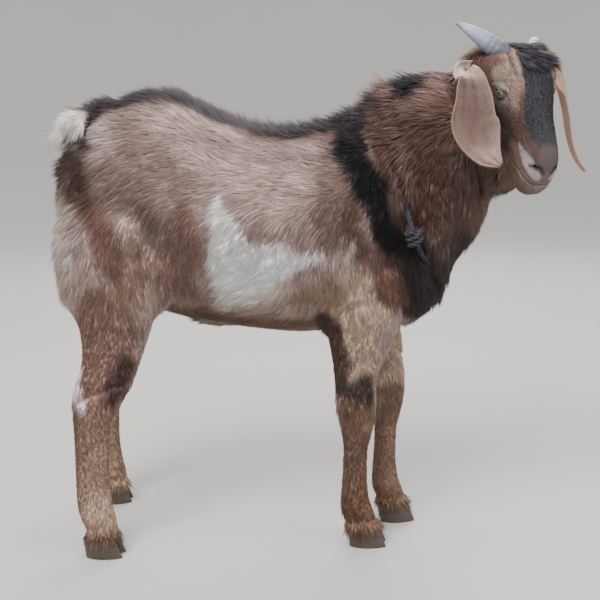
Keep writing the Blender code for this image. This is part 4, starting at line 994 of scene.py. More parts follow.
def face_tone(head, p):
    """The head's colours, from its own directions."""
    along, brow, out = head.T
    aside = np.abs(out)
    tone_at = np.tile(np.array((104, 76, 67), float), (len(p), 1))
    # dark cheek, browner jaw
    tone_at = paint(tone_at, (68, 54, 50), ease(0.022, 0.000, brow) * ease(0.074, 0.098, along))
    tone_at = paint(tone_at, (122, 97, 87), ease(-0.006, -0.018, brow) * ease(0.138, 0.156, along))
    # rosy tan over the forehead, down to the eye
    tone_at = paint(tone_at, (150, 114, 103), ease(0.038, 0.050, brow) * ease(0.012, 0.026, along)
                    * ease(0.046, 0.034, aside))
    for colour, soft, full, path in FACE_MARKS:
        tone_at = paint(tone_at, colour, full * stroke(along, brow, path, soft) * ease(0.004, 0.010, aside))
    # pale folds with creases between them darkened as painted shade, over the inner end of the brow
    inner, outer, crease = (stroke(along, aside, path, 0.003) for path in BROW_FOLDS)
    fold = np.maximum(inner, 0.7 * outer)
    tone_at = paint(tone_at, (188, 166, 160), 0.85 * fold * ease(0.040, 0.050, brow))
    tone_at = paint(tone_at, (84, 62, 58), 0.85 * crease * ease(0.040, 0.050, brow))
    # the black blaze down the bridge of the nose, its edge brown over the cheek
    wide = np.interp(along, *zip(*BLAZE_HALF)) * np.where(out < 0, 2.2, 1.0) + cloud(p, 0.010) * 0.0016
    bridge = ease(0.016, 0.034, along) * ease(0.206, 0.192, along) * ease(-0.010, 0.002, brow)
    edge = np.exp(-((aside - wide - 0.003) / 0.004) ** 2) * ease(0.105, 0.120, along)
    tone_at = paint(tone_at, (84, 58, 54), 0.85 * edge * bridge)
    tone_at = paint(tone_at, (38, 37, 46), 0.97 * ease(0.002, -0.002, aside - wide) * bridge)
    # the nose, the lips and the chin
    tone_at = paint(tone_at, (92, 77, 79), 0.9 * ease(0.184, 0.194, along) * ease(-0.004, 0.004, brow)
                    * ease(0.017, 0.013, aside))
    tone_at = paint(tone_at, (88, 78, 84), 0.9 * ease(0.200, 0.207, along) * ease(-0.018, -0.012, brow))
    # the nostrils darkened as painted shade inside them
    gap = near_path(np.column_stack((along, brow, aside)), NOSTRIL)[0]
    tone_at = paint(tone_at, (52, 45, 49), 0.9 * ease(0.0050, 0.0022, gap))
    tone_at = paint(tone_at, (138, 120, 112), 0.8 * ease(0.165, 0.185, along) * ease(-0.034, -0.040, brow))
    tone_at = paint(tone_at, (150, 134, 130), 0.8 * ease(0.206, 0.212, along) * ease(-0.034, -0.040, brow))
    # a dark line along the mouth, painted shade in the crease between the lips
    lips = np.abs(brow - np.interp(along, *zip(*MOUTH)))
    tone_at = paint(tone_at, (58, 46, 44), 0.7 * ease(0.0022, 0.0008, lips) * ease(0.162, 0.172, along))
    return tone_at * FACE_SHADE


def coat_tone(p):
    """The coat's colour at places in the goat's frame, as a screen shows it."""
    warp = drift(p, 0.030, 1) * 0.007 + drift(p, 0.009, 4) * 0.003
    left = p[:, 1] > 0
    q = p + warp
    q[left] += np.column_stack([cloud(p[left], 0.12, 7), p[left, 1] * 0, cloud(p[left], 0.12, 8)]) * 0.035
    x, y, z = q.T
    tone_at = np.tile(np.array(SAND, float), (len(p), 1))
    tone_at = paint(tone_at, DUSK, ease(0.2, 0.8, cloud(p, 0.05, 9)) * 0.30)
    # brown neck, near black down its front and over the chest
    tone_at = paint(tone_at, (104, 79, 72), ease(0.098, 0.130, x) * ease(0.40, 0.44, z))
    tone_at = paint(tone_at, (112, 93, 86), ease(0.215, 0.255, x) * ease(0.70, 0.64, z))
    tone_at = paint(tone_at, (70, 59, 61), ease(0.150, 0.180, x) * ease(0.545, 0.525, z)
                    * ease(0.38, 0.41, z))
    for colour, soft, full, path in BODY_MARKS_AND_SHADE:
        tone_at = paint(tone_at, colour, stroke(x, z, path, soft) * full)
    far_leg = left & (z < 0.37)
    far_fore = np.where((z > 0.25)[:, None], (192, 164, 141), (132, 99, 80))
    far_tone = np.where((x < -0.1)[:, None], (174, 140, 117), far_fore)
    tone_at[far_leg] = (tone_at * 0.25 + far_tone * 0.75)[far_leg]
    # the middle of the back: dark hair from the croup to the withers, browner beside the saddle
    gap, where = near_path(np.column_stack((x, y, z)), [(a, 0.0, b) for a, b in RIDGE_PATH])
    gap = gap + cloud(p, 0.02, 10) * 0.004
    saddle = ease(-0.110, -0.070, x) * ease(0.080, 0.050, x)
    tone_at = paint(tone_at, (124, 96, 88), 0.75 * ease(0.075, 0.045, gap) * saddle)
    tone_at = paint(tone_at, (62, 56, 60), 0.94 * ease(0.054, 0.032, gap) * ease(0.14, 0.10, x))
    tone_at = paint(tone_at, (52, 48, 52), 0.85 * ease(0.036, 0.016, gap) * ease(-0.140, -0.060, x)
                    * ease(0.14, 0.10, x))
    # under the tail: dark hair deepened by painted shadow; and the belly's middle line
    tone_at = paint(tone_at, (60, 44, 41), ease(0.030, 0.014, np.abs(y)) * ease(-0.360, -0.376, x)
                    * ease(0.66, 0.64, z) * ease(0.50, 0.54, z))
    tone_at = paint(tone_at, CREAM, 0.5 * ease(0.045, 0.015, np.abs(y)) * ease(0.42, 0.39, z)
                    * ease(-0.34, -0.30, x) * ease(0.14, 0.10, x))
    # the tail: dark along its middle, white at its sides, and darkest underneath, where dark hair is deepened
    # by painted shade
    on_tail = ease(-0.332, -0.345, p[:, 0]) * ease(0.650, 0.668, p[:, 2])
    over = p[:, 2] - np.interp(p[:, 0], *zip(*[row[:2] for row in TAIL[::-1]]))
    tone_at = paint(tone_at, (78, 67, 63), on_tail)
    tone_at = paint(tone_at, (236, 228, 225), on_tail * np.maximum(ease(0.016, 0.023, np.abs(y)),
                                                                 0.95 * ease(-0.354, -0.368, p[:, 0])))
    tone_at = paint(tone_at, (44, 35, 33), on_tail * ease(-0.010, -0.020, over))
    share = head_share(p)
    near = share > 0
    tone_at[near] = (tone_at[near] * (1 - share[near, None])
                     + face_tone(in_head(p[near] + warp[near] * 0.12), p[near]) * share[near, None])
    return tone_at


def to_linear(tones):
    """Screen colours, 0 to 255, as the shader counts them."""
    share = np.clip(tones, 0, 255) / 255
    return np.where(share > 0.04045, ((share + 0.055) / 1.055) ** 2.4, share / 12.92)


def colour_points(mesh, name, tones):
    """Stores one colour for each point of a mesh."""
    store(mesh, name, "FLOAT_COLOR", np.column_stack((to_linear(tones), np.ones(len(tones)))))


skin_points = places(skin.data)
# the skin takes the coat's colours darkened by SKIN_SHADE, painted shade under the hair
colour_points(skin.data, "tone", coat_tone(skin_points) * SKIN_SHADE)
hide = Finish("short_hide", 0.85)
hide.into("Base Color", hide.grained(hide.read("tone"), 0.5, hide.noise(900.0, 2.0), 0.25))
hide.bump(hide.noise(420.0, 4.0), 0.0012, 0.6)
skin.data.materials.append(hide.material)


def set_down(body, name, finish, smooth=True):
    """Stands a finished piece on the ground, names it and lets it ride on the goat."""
    body.name = name
    body.data.name = name
    body.data.transform(Matrix.Translation(SET_DOWN))
    body.data.materials.clear()
    body.data.materials.append(finish.material)
    if smooth:
        body.data.shade_smooth()
    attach(body, "root")


# The eyes: amber-brown balls set under the lids, with the goat's level slot of a pupil, wet and
# glossy.
IRIS_SPREAD = 1.55
PUPIL_NARROW = (3.2, 34.0)
eye_finish = Finish("wet_eye", 0.12, Coat_Weight=0.5, Coat_Roughness=0.05)
gaze_at, gaze_up = eye_finish.read("gaze", "Vector").split()[:2]
ring = ((gaze_at * gaze_at + gaze_up * gaze_up) ** 0.5) * IRIS_SPREAD
iris = eye_finish.ramp(ring, (0.0, (0.045, 0.036, 0.030)), (0.55, (0.110, 0.092, 0.078)),
                       (0.86, (0.034, 0.027, 0.023)), (1.0, (0.026, 0.018, 0.014)))
slot_reach = ((gaze_at * IRIS_SPREAD) ** 2.0 * PUPIL_NARROW[0]
              + (gaze_up * IRIS_SPREAD) ** 2.0 * PUPIL_NARROW[1])
pupil = eye_finish.node("ShaderNodeMapRange", {"interpolation_type": "SMOOTHSTEP"},
                        {0: slot_reach, 1: 0.80, 2: 1.15, 3: 1.0, 4: 0.0})
eye_finish.into("Base Color", eye_finish.mix(
    pupil, eye_finish.grained(iris, 0.35, eye_finish.noise(1400.0, 2.0), 0.1), (0.006, 0.005, 0.005, 1)))
for side, side_name in ((1, "right"), (-1, "left")):
    gaze, long_way, up = eye_axes(side)
    turn = gaze.to_track_quat("Z", "Y").to_matrix().to_4x4()
    eye = ball(eye_middle(side), EYE_RADIUS, turn, 64, 40)
    axes = np.array([long_way, up, gaze]).T
    local = (places(eye.data) - np.array(eye_middle(side))) @ axes / EYE_RADIUS
    store(eye.data, "gaze", "FLOAT_VECTOR", local)
    set_down(eye, "eyeball_" + side_name, eye_finish)
    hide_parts("eye_" + side_name)

# The horns: short spikes of pale grey horn over a bony core, with blunt rings round the lower
# half, worn smooth at the tip.
NEAR_HORN = ((0.0, 0.0, 0.0), (-0.013, 0.004, 0.012), (-0.027, 0.008, 0.026), (-0.040, 0.012, 0.042),
             (-0.053, 0.015, 0.059))
FAR_HORN = ((0.0, 0.0, 0.0), (-0.016, -0.002, 0.010), (-0.031, -0.009, 0.020), (-0.044, -0.019, 0.030),
            (-0.055, -0.032, 0.039))
HORN_BASE = (0.040, 0.051, 0.026)
HORN_SUNK = (0.8, 0.010)
HORN_RADII = (0.0162, 0.0156, 0.0134, 0.0088, 0.0026)
FAR_HORN_SLIM = 0.74
HORN_SIDES = 28
HORN_FLAT = 0.86
HORN_RINGS = 7
HORN_RING_DEPTH = 0.018
horn_finish = Finish("ringed_horn", 0.45, Coat_Weight=0.15, Coat_Roughness=0.35)
# the horn's tone, painted darkest at its root as painted shade where it leaves the hair, palest high up, a
# little darker at the tip
horn_tone = horn_finish.ramp(
    horn_finish.read("along", "Fac") + horn_finish.noise(90.0) * 0.20 - 0.10,
    (0.0, tone(50, 48, 54)), (0.30, tone(66, 68, 80)), (0.55, tone(110, 116, 134)),
    (0.85, tone(134, 140, 158)), (1.0, tone(104, 102, 109)))
horn_finish.into("Base Color", horn_finish.grained(horn_tone, 0.35, horn_finish.noise(420.0), 0.2))
horn_finish.bump(horn_finish.noise(700.0) + horn_finish.noise(120.0), 0.0006, 0.5)
for side, side_name, path in ((1, "right", NEAR_HORN), (-1, "left", FAR_HORN)):
    along, brow, out = HORN_BASE
    root = Vector(HORN_BASE) - Vector(path[1]) * HORN_SUNK[0] - Vector((0.0, HORN_SUNK[1], 0.0))
    slim = 1.0 if side > 0 else FAR_HORN_SLIM
    rows = [(root.x, root.y, root.z * side, HORN_RADII[0] * slim)]
    rows += [(along + step[0], brow + step[1], (out + step[2]) * side, radius * slim)
             for step, radius in zip(path, HORN_RADII)]
    fine = smooth_rows(rows, 14)
    points = [head_point(*row[:3]) for row in fine]
    radii = []
    for i, row in enumerate(fine):
        share = i / (len(fine) - 1)
        fade = float(ease(0.85, 0.45, share))
        radii.append(row[3] * (1 - HORN_RING_DEPTH + HORN_RING_DEPTH * fade
                               * math.cos(2 * math.pi * HORN_RINGS * share / 0.7)))
    horn = tube("horn", points, radii, HORN_SIDES, HORN_FLAT, OUTWARD)
    heights = np.linspace(0, 1, len(fine)).repeat(HORN_SIDES)
    store(horn.data, "along", "FLOAT", np.append(heights, (0.0, 1.0)))
    set_down(horn, "ringed_horn_" + side_name, horn_finish)
    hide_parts("horn_" + side_name)

# The ears: long drooping leaves of gristle under thin skin, hollow in front, rolled to a tube at
# the root, with short hair all over.
EAR_ROOT = ((0.018, 0.004, 0.040), (0.018, 0.003, 0.064))
EAR_ROOT_HALF = (0.0120, 0.0140)
EAR_BEND = 0.007
NEAR_EAR = (
    (0.2550, -0.094, 0.7680, 0.0200),
    (0.2560, -0.108, 0.7500, 0.0250),
    (0.2565, -0.116, 0.7300, 0.0300),
    (0.2560, -0.121, 0.7070, 0.0350),
    (0.2610, -0.126, 0.6880, 0.0350),
    (0.2680, -0.130, 0.6720, 0.0310),
    (0.2770, -0.133, 0.6580, 0.0230),
    (0.2870, -0.135, 0.6480, 0.0135),
    (0.2960, -0.136, 0.6400, 0.0045),
)
FAR_EAR = (
    (0.4020, 0.012, 0.7800, 0.0205),
    (0.4190, 0.026, 0.7640, 0.0250),
    (0.4290, 0.034, 0.7420, 0.0310),
    (0.4360, 0.038, 0.7170, 0.0375),
    (0.4400, 0.038, 0.6920, 0.0385),
    (0.4450, 0.036, 0.6680, 0.0350),
    (0.4520, 0.032, 0.6480, 0.0260),
    (0.4605, 0.027, 0.6330, 0.0150),
    (0.4680, 0.023, 0.6240, 0.0060),
)
EAR_ACROSS = 20
EAR_THICK = 0.0030
EAR_RIM = 0.0014
EAR_CUP = 0.011
NEAR_EAR_FACES = Vector((0.15, -1.0, 0.05)).normalized()
FAR_EAR_FACES = Vector((0.97, -0.22, 0.0)).normalized()
ear_finish = Finish("ear_skin", 0.7)
ear_finish.into("Base Color", ear_finish.grained(ear_finish.read("tone"), 0.4, ear_finish.noise(600.0), 0.2))
ear_finish.bump(ear_finish.noise(260.0) + ear_finish.noise(900.0) * 0.5, 0.0010, 0.6)


def ear_leaf(side, leaf, faces):
    """One ear as a grid of points, with each point's place across and along it and its side."""
    rows = [(*head_point(a, b, c * side), half) for (a, b, c), half in zip(EAR_ROOT, EAR_ROOT_HALF)]
    bend = (Vector(rows[-1][:3]) + Vector(leaf[0][:3])) / 2 + OUTWARD * (side * EAR_BEND)
    rows.append((*bend, (rows[-1][3] + leaf[0][3]) / 2))
    rows.extend(leaf)
    rows = smooth_rows(rows, 4)
    points = [Vector(row[:3]) for row in rows]
    last = len(rows) - 1
    rings = []
    places_on = []
    for i, row in enumerate(rows):
        tangent = (points[min(i + 1, last)] - points[max(i - 1, 0)]).normalized()
        across = tangent.cross(faces).normalized()
        front = across.cross(tangent).normalized()
        along = i / last
        roll = max(0.0, 1.0 - along / 0.36)
        rim_wave = 1.0 + 0.025 * math.sin(along * 23) * (1 - roll)
        fore = []
        hind = []
        for k in range(EAR_ACROSS + 1):
            v = 2 * k / EAR_ACROSS - 1
            edge = 1 - v * v
            cup = EAR_CUP * math.sin(math.pi * min(1.0, 0.12 + along)) * (v * v - 0.45)
            cup += 0.0009 * math.sin(v * 9 + along * 4) * (1 - roll)
            thick = EAR_RIM + (EAR_THICK - EAR_RIM) * edge
            flat = points[i] + across * (v * row[3] * rim_wave) + front * cup
            swell = row[3] * 0.85 * math.sqrt(max(edge, 0.0))
            fore.append(flat + front * (thick / 2 * (1 - roll) + roll * swell))
            hind.append(flat - front * (thick / 2 * (1 - roll) + roll * swell))
            places_on.append((v, along))
        rings.append(fore + hind[::-1])
    bm = bmesh.new()
    mark = bm.verts.layers.float_vector.new("leaf")
    grid = []
    for i, ring in enumerate(rings):
        line = []
        for k, point in enumerate(ring):
            vert = bm.verts.new(point)
            v = k if k <= EAR_ACROSS else 2 * EAR_ACROSS + 1 - k
            vert[mark] = (2 * v / EAR_ACROSS - 1, i / last, 1.0 if k <= EAR_ACROSS else -1.0)
            line.append(vert)
        grid.append(line)
    total = len(grid[0])
    for low, high in zip(grid, grid[1:]):
        for k in range(total):
            j = (k + 1) % total
            bm.faces.new((low[k], low[j], high[j]))
            bm.faces.new((low[k], high[j], high[k]))
    for row in (grid[0], grid[-1]):
        for k in range(EAR_ACROSS):
            bm.faces.new((row[k], row[k + 1], row[total - 2 - k], row[total - 1 - k]))
    bmesh.ops.triangulate(bm, faces=bm.faces)
    return object_from(bm, "ear")


def leaf_rows(mesh):
    """What each point of an ear's mesh carries: its place across, along, and its side."""
    return read_rows(mesh.attributes["leaf"].data, "vector").astype(float)


def ear_tone(p, leaf):
    """An ear's colours: tan outside, darker down the hollow, pale at the rim and lower edge."""
    across, along, face = leaf.T
    tone_at = np.tile(np.array((94, 70, 63), float), (len(p), 1))
    inner = ease(0.72, 0.25, np.abs(across + 0.10)) * ease(0.20, 0.40, along) * ease(0.90, 0.62, along)
    veins = ease(0.1, 0.9, np.sin(across * 13 + 4.5 * cloud(p, 0.022, 3)))
    tone_at = paint(tone_at, (78, 52, 48), inner * 0.85)
    tone_at = paint(tone_at, (62, 42, 40), inner * veins * 0.5)
    tone_at = paint(tone_at, (142, 118, 109), ease(0.60, 0.92, along + cloud(p, 0.012, 3) * 0.05) * 0.9)
    tone_at = paint(tone_at, (200, 174, 162), ease(0.34, 0.20, along) * 0.85)
    tone_at = paint(tone_at, (146, 122, 113), ease(0.88, 0.98, np.abs(across)) * 0.8)
    tone_at = paint(tone_at, (98, 77, 70), (face < 0) * 0.6)
    tone_at = paint(tone_at, (208, 166, 142), (in_head(p)[:, 2] < 0) * 0.8)
    return tone_at


ears = []
for side, side_name, leaf, faces in ((1, "right", NEAR_EAR, NEAR_EAR_FACES),
                                     (-1, "left", FAR_EAR, FAR_EAR_FACES)):
    ear = ear_leaf(side, leaf, faces)
    colour_points(ear.data, "tone", ear_tone(places(ear.data), leaf_rows(ear.data)) * 0.9)
    ears.append((ear, side_name, np.array(Vector(leaf[-1][:3]) - Vector(leaf[2][:3]))))

# The hooves: two claws to a foot, of dark grey-brown horn that grows down in fine rings, with flat
# soles that carry the goat.
SOLE_Z = -SET_DOWN.z
CLAW_TOP = (0.0275, 0.0225)
CLAW_SOLE = (0.0325, 0.0215)
CLAW_SLOPE = 0.0075
CLAW_SIDES = 40
CLAW_ROWS = 14
CLEFT = 0.0008
FEET = {"fore_right": (0.112, -0.060), "fore_left": (0.170, 0.042),
        "hind_right": (-0.319, -0.101), "hind_left": (-0.345, 0.123)}
hoof_finish = Finish("hoof_horn", 0.55, Coat_Weight=0.1, Coat_Roughness=0.5)
hoof_place = hoof_finish.node("ShaderNodeMapping", {"vector_type": "POINT"},
                              {"Vector": hoof_finish.here(), "Scale": (1.0, 1.0, 9.0)})
hoof_rings = hoof_finish.noise(60.0, 3.0, hoof_place)
hoof_finish.into("Base Color", hoof_finish.ramp(
    hoof_rings * 0.7 + hoof_finish.noise(45.0) * 0.3,
    (0.25, tone(40, 34, 30)), (0.55, tone(64, 54, 46)), (0.80, tone(86, 74, 62))))
hoof_finish.bump(hoof_rings + hoof_finish.noise(500.0) * 0.3, 0.0008, 0.7)
for foot, (foot_x, foot_y) in FEET.items():
    turn = math.radians(-4 if foot_y < 0 else 4)
    long_way = Vector((math.cos(turn), math.sin(turn), 0))
    claws = []
    for side in (-1, 1):
        across = Vector((-long_way.y, long_way.x, 0)) * side
        rings = []
        for row in range(CLAW_ROWS + 1):
            t = row / CLAW_ROWS
            growth = 1.0 + 0.010 * math.sin(t * 31) * (1 - t) + 0.03 * max(0.0, t - 0.86) / 0.14
            length = (CLAW_SOLE[0] * (1 - t) + CLAW_TOP[0] * t) * growth
            width = (CLAW_SOLE[1] * (1 - t) + CLAW_TOP[1] * t) * growth
            if row == 0:
                length *= 0.97
                width *= 0.96
            middle = Vector((foot_x, foot_y, SOLE_Z + (CORONET - SOLE_Z) * t)) - long_way * (CLAW_SLOPE * t)
            ring_row = []
            for i in range(CLAW_SIDES):
                angle = 2 * math.pi * i / CLAW_SIDES
                c = math.cos(angle)
                s = math.sin(angle)
                reach = c * length * (1.0 if c > 0 else 0.86)
                narrow = 1.0 - 0.34 * c * c if c > 0 else 1.0
                spread = CLEFT + max((s * 0.5 * narrow + 0.5) * width, 0.04 * width)
                ring_row.append(middle + long_way * reach + across * spread)
            rings.append(ring_row)
        claws.append(loft("claw", rings))
    hoof = join("hoof", claws)
    set_down(hoof, "claws_" + foot, hoof_finish, False)
    hoof.data.shade_smooth()
    hoof.data.set_sharp_from_angle(angle=math.radians(50))
    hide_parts(f"hoof_{foot}_outer", f"hoof_{foot}_inner")

# The collar: one laid rope of three strands of slate-blue fibre round the base of the neck, bedded
# in the coat and tied on the right side, with a short frayed end.
ROPE_RADIUS = 0.0042
ROPE_GAP = 0.0003
COLLAR = ((0.142, 0.760, "top"), (0.147, 0.705, "side"), (0.155, 0.645, "side"), (0.161, 0.590, "side"),
          (0.168, 0.530, "side"), (0.200, 0.482, "side"), (0.226, 0.464, "side"), (0.260, 0.456, "front"))
KNOT_AT = 4
ROPE_STEPS = 24
ROPE_STANDS = 0.0018
ROPE_SINKS = 0.0035
KNOT_STANDS = 0.0200
KNOT_TURNS = 2.4
KNOT_PITCH = 0.0088
KNOT_END = 0.022
KNOT_REACH = 2 * ROPE_RADIUS + 5 * ROPE_GAP
STRANDS = 3
STRAND_SIDES = 8
LAY_LENGTH = 0.026
rope_finish = Finish("laid_rope", 0.8)
fibre_lines = rope_finish.noise(38.0, 2.0, rope_finish.read("twist", "Vector"))
rope_finish.into("Base Color", rope_finish.ramp(
    fibre_lines * 0.75 + rope_finish.noise(60.0) * 0.25,
    (0.30, tone(18, 18, 23)), (0.52, tone(36, 37, 46)), (0.75, tone(64, 67, 79))))
rope_finish.bump(fibre_lines, 0.0008, 0.8)


def strands(name, points, closed, turns, radius):
    """A rope along a path: strands wound round it, each point knowing its turn and length."""
    total = len(points)
    middle = sum(points, Vector()) / total
    bm = bmesh.new()
    mark = bm.verts.layers.float_vector.new("twist")
    across = None
    frames = []
    length = [0.0]
    for i, point in enumerate(points):
        after = points[(i + 1) % total] if closed else points[min(i + 1, total - 1)]
        before = points[i - 1] if closed else points[max(i - 1, 0)]
        tangent = (after - before).normalized()
        if closed:
            across = (point - middle).normalized()
        elif across is None:
            across = tangent.orthogonal()
        across = (across - tangent * across.dot(tangent)).normalized()
        frames.append((point, across, tangent.cross(across)))
        length.append(length[-1] + (after - point).length)
    whole = length[total if closed else total - 1]
    for strand in range(STRANDS):
        rows = []
        for i, (point, across, up) in enumerate(frames):
            angle = 2 * math.pi * (strand / STRANDS + turns * length[i] / whole)
            centre = point + (across * math.cos(angle) + up * math.sin(angle)) * radius * 0.50
            row = []
            for k in range(STRAND_SIDES):
                spin = 2 * math.pi * k / STRAND_SIDES
                out = across * math.cos(spin) + up * math.sin(spin)
                vert = bm.verts.new(centre + out * radius * 0.56)
                vert[mark] = (math.cos(spin - angle) * 2.0, math.sin(spin - angle) * 2.0 + strand * 7,
                              length[i] * 6)
                row.append(vert)
            rows.append(row)
        for i in range(total if closed else total - 1):
            low = rows[i]
            high = rows[(i + 1) % total]
            for k in range(STRAND_SIDES):
                j = (k + 1) % STRAND_SIDES
                bm.faces.new((low[k], low[j], high[j], high[k]))
        if not closed:
            bm.faces.new(rows[0][::-1])
            bm.faces.new(rows[-1])
    return object_from(bm, name)


rope_tree = tree_of(rough)
right = []
for i, (x, z, way) in enumerate(COLLAR):
    start, aim = {"side": (Vector((x, -0.3, z)), LEFT),
                  "top": (Vector((x, 0, z + 0.2)), Vector((0, 0, -1))),
                  "front": (Vector((x + 0.2, 0, z)), Vector((-1, 0, 0)))}[way]
    place, normal = rope_tree.ray_cast(start, aim)[:2]
    stands = KNOT_STANDS if i == KNOT_AT else ROPE_STANDS - ROPE_SINKS * float(ease(0.600, 0.620, place.z))
    right.append(place + normal * stands)
left = [Vector((place.x, -place.y - (KNOT_STANDS - ROPE_STANDS if i == KNOT_AT else 0.0), place.z))
        for i, place in enumerate(right[1:-1], start=1)]
guide = right + left[::-1]
rope_path = []
for i in range(len(guide)):
    near = [guide[(i + k) % len(guide)] for k in (-1, 0, 1, 2)]
    rope_path += [curve(*near, k / ROPE_STEPS) for k in range(ROPE_STEPS)]
rope_length = sum((a - b).length for a, b in zip(rope_path, rope_path[1:] + rope_path[:1]))
collar = strands("collar", rope_path, True, round(rope_length / LAY_LENGTH), ROPE_RADIUS)
rope_points = np.array(rope_path)
set_down(collar, "laid_collar_rope", rope_finish)
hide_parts("collar_rope")

at = KNOT_AT * ROPE_STEPS
axis = (rope_path[at + ROPE_STEPS // 4] - rope_path[at - ROPE_STEPS // 4]).normalized()
outward = (Vector((0, -1, 0)) - axis * axis.dot(Vector((0, -1, 0)))).normalized()
around = axis.cross(outward)
total = int(KNOT_TURNS * 11) * 4
knot_path = []
for i in range(total + 1):
    angle = 2 * math.pi * i / 44
    along = (i / total - 0.5) * KNOT_TURNS * KNOT_PITCH
    knot_path.append(rope_path[at] + axis * along
                     + (outward * math.cos(angle) + around * math.sin(angle)) * KNOT_REACH)
leave = (knot_path[-1] - knot_path[-2]).normalized()
for k in range(1, 13):
    drop = Vector((0, -0.15, -1)) * (k / 12)
    knot_path.append(knot_path[-1] + (leave * (1 - k / 16) + drop).normalized() * (KNOT_END / 12))
winding = strands("winding", knot_path, False, 7, ROPE_RADIUS * 0.98)
frays = []
draw = np.random.default_rng(3)
end = knot_path[-1]
last_way = (knot_path[-1] - knot_path[-3]).normalized()
for k in range(26):
    spray = Vector(draw.normal(0, 0.30, 3))
    root = end - last_way * 0.003 + Vector(draw.normal(0, 0.0014, 3))
    way = (last_way + spray).normalized()
    path = [root, root + way * 0.005, root + way * 0.009 + Vector((0, 0, -0.001)),
            root + way * 0.012 + Vector((0, 0, -0.003))]
    fray = tube("fray", path, (0.0005, 0.0005, 0.0004, 0.0002), 5)
    store(fray.data, "twist", "FLOAT_VECTOR", np.tile((k * 0.7, 0, 0), len(fray.data.vertices)))
    frays.append(fray)
knot = join("knot", [winding] + frays)
set_down(knot, "tied_knot", rope_finish)
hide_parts("collar_knot")
remove(rough)


# The coat: coarse, slightly wavy hair over the whole skin, in thin pointed tufts that follow its
# lie. It hangs longest from the chest, neck, tail and buttocks, stands up along the back, and is
# shortest on the face and feet.
# The lie on the right side: a place, x and z, and the way the tips point there
LIES = (
    (-0.148, 0.735, -0.60, 0.80), (-0.104, 0.676, -0.86, 0.50), (0.000, 0.654, -0.95, 0.30),
    (-0.015, 0.610, -1.00, 0.00), (-0.075, 0.587, -0.95, -0.30), (-0.061, 0.549, -0.50, -0.85),
    (0.000, 0.526, -0.25, -0.97), (0.031, 0.480, -0.10, -1.00), (-0.269, 0.647, -0.87, -0.50),
    (-0.225, 0.617, -0.95, -0.30), (-0.252, 0.706, -1.00, 0.05), (-0.281, 0.720, -0.95, 0.20),
    (-0.271, 0.587, -0.70, -0.70), (-0.258, 0.542, -0.30, -0.95), (-0.290, 0.496, -0.05, -1.00),
    (-0.198, 0.496, 0.00, -1.00), (-0.230, 0.449, 0.10, -1.00), (-0.092, 0.449, -0.90, -0.40),
    (0.015, 0.676, -0.85, 0.50), (0.051, 0.663, -0.93, 0.35), (0.045, 0.617, -1.00, 0.00),
    (0.045, 0.564, -0.50, -0.87), (0.068, 0.526, -0.10, -1.00), (0.046, 0.496, 0.00, -1.00),
    (0.098, 0.625, -0.50, -0.85), (0.163, 0.719, -0.95, -0.25), (0.144, 0.691, -1.00, -0.10),
    (0.137, 0.625, -0.15, -1.00), (0.184, 0.663, -0.50, -0.85), (0.211, 0.587, 0.00, -1.00),
    (0.200, 0.765, -0.90, 0.40), (-0.308, 0.434, 0.00, -1.00), (-0.296, 0.338, -0.10, -1.00),
    (-0.333, 0.191, 0.00, -1.00), (0.077, 0.402, 0.00, -1.00), (0.086, 0.274, 0.10, -1.00),
    (0.088, 0.158, 0.00, -1.00), (0.184, 0.449, 0.00, -1.00),
)


def coat_lie(p, normal):
    """The way the hair lies along the surface at places in the goat's frame."""
    table = np.array(LIES)
    gap = (p[:, None, 0] - table[:, 0]) ** 2 + (p[:, None, 2] - table[:, 1]) ** 2
    weight = 1 / (gap + 0.018 ** 2) ** 2
    flat = (weight @ table[:, 2:]) / weight.sum(axis=1)[:, None]
    lie = np.column_stack((flat[:, 0], np.zeros(len(p)), flat[:, 1]))
    # over the back the hair falls away to its own side, under the belly it runs back
    lie[:, 1] = 0.25 * np.sign(p[:, 1]) * ease(0.02, 0.06, np.abs(p[:, 1])) * ease(0.3, 0.9, normal[:, 2])
    lie[:, 0] -= 0.6 * ease(-0.3, -0.9, normal[:, 2])
    on_tail = ease(-0.330, -0.345, p[:, 0]) * ease(0.645, 0.665, p[:, 2])
    edge = ease(0.010, 0.024, np.abs(p[:, 1]))
    tail_lie = np.column_stack((-0.80 + 0.40 * edge,
                                np.sign(p[:, 1]) * 0.40 * ease(0.004, 0.02, np.abs(p[:, 1])),
                                -0.35 - 0.55 * edge))
    lie = lie * (1 - on_tail[:, None]) + tail_lie * on_tail[:, None]
    share = head_share(p)[:, None]
    head = in_head(p)
    down = np.clip((0.020 - head[:, 1]) / 0.05, -1, 1)
    face = (np.outer(np.full(len(p), 0.85), ALONG) - np.outer(0.30 * down + 0.10, BROW)
            + np.outer(np.sign(head[:, 2]) * 0.10, OUTWARD))
    lie = lie * (1 - share) + face * share
    # loose waves
    swing = 0.30 * cloud(p, 0.028, 11) + 0.22 * cloud(p, 0.010, 12)
    swing = swing * (1 - 0.6 * share[:, 0])
    lie -= normal * np.sum(lie * normal, axis=1)[:, None]
    lie /= np.linalg.norm(lie, axis=1)[:, None] + 1e-9
    side = np.cross(normal, lie)
    return lie * np.cos(swing)[:, None] + side * np.sin(swing)[:, None]


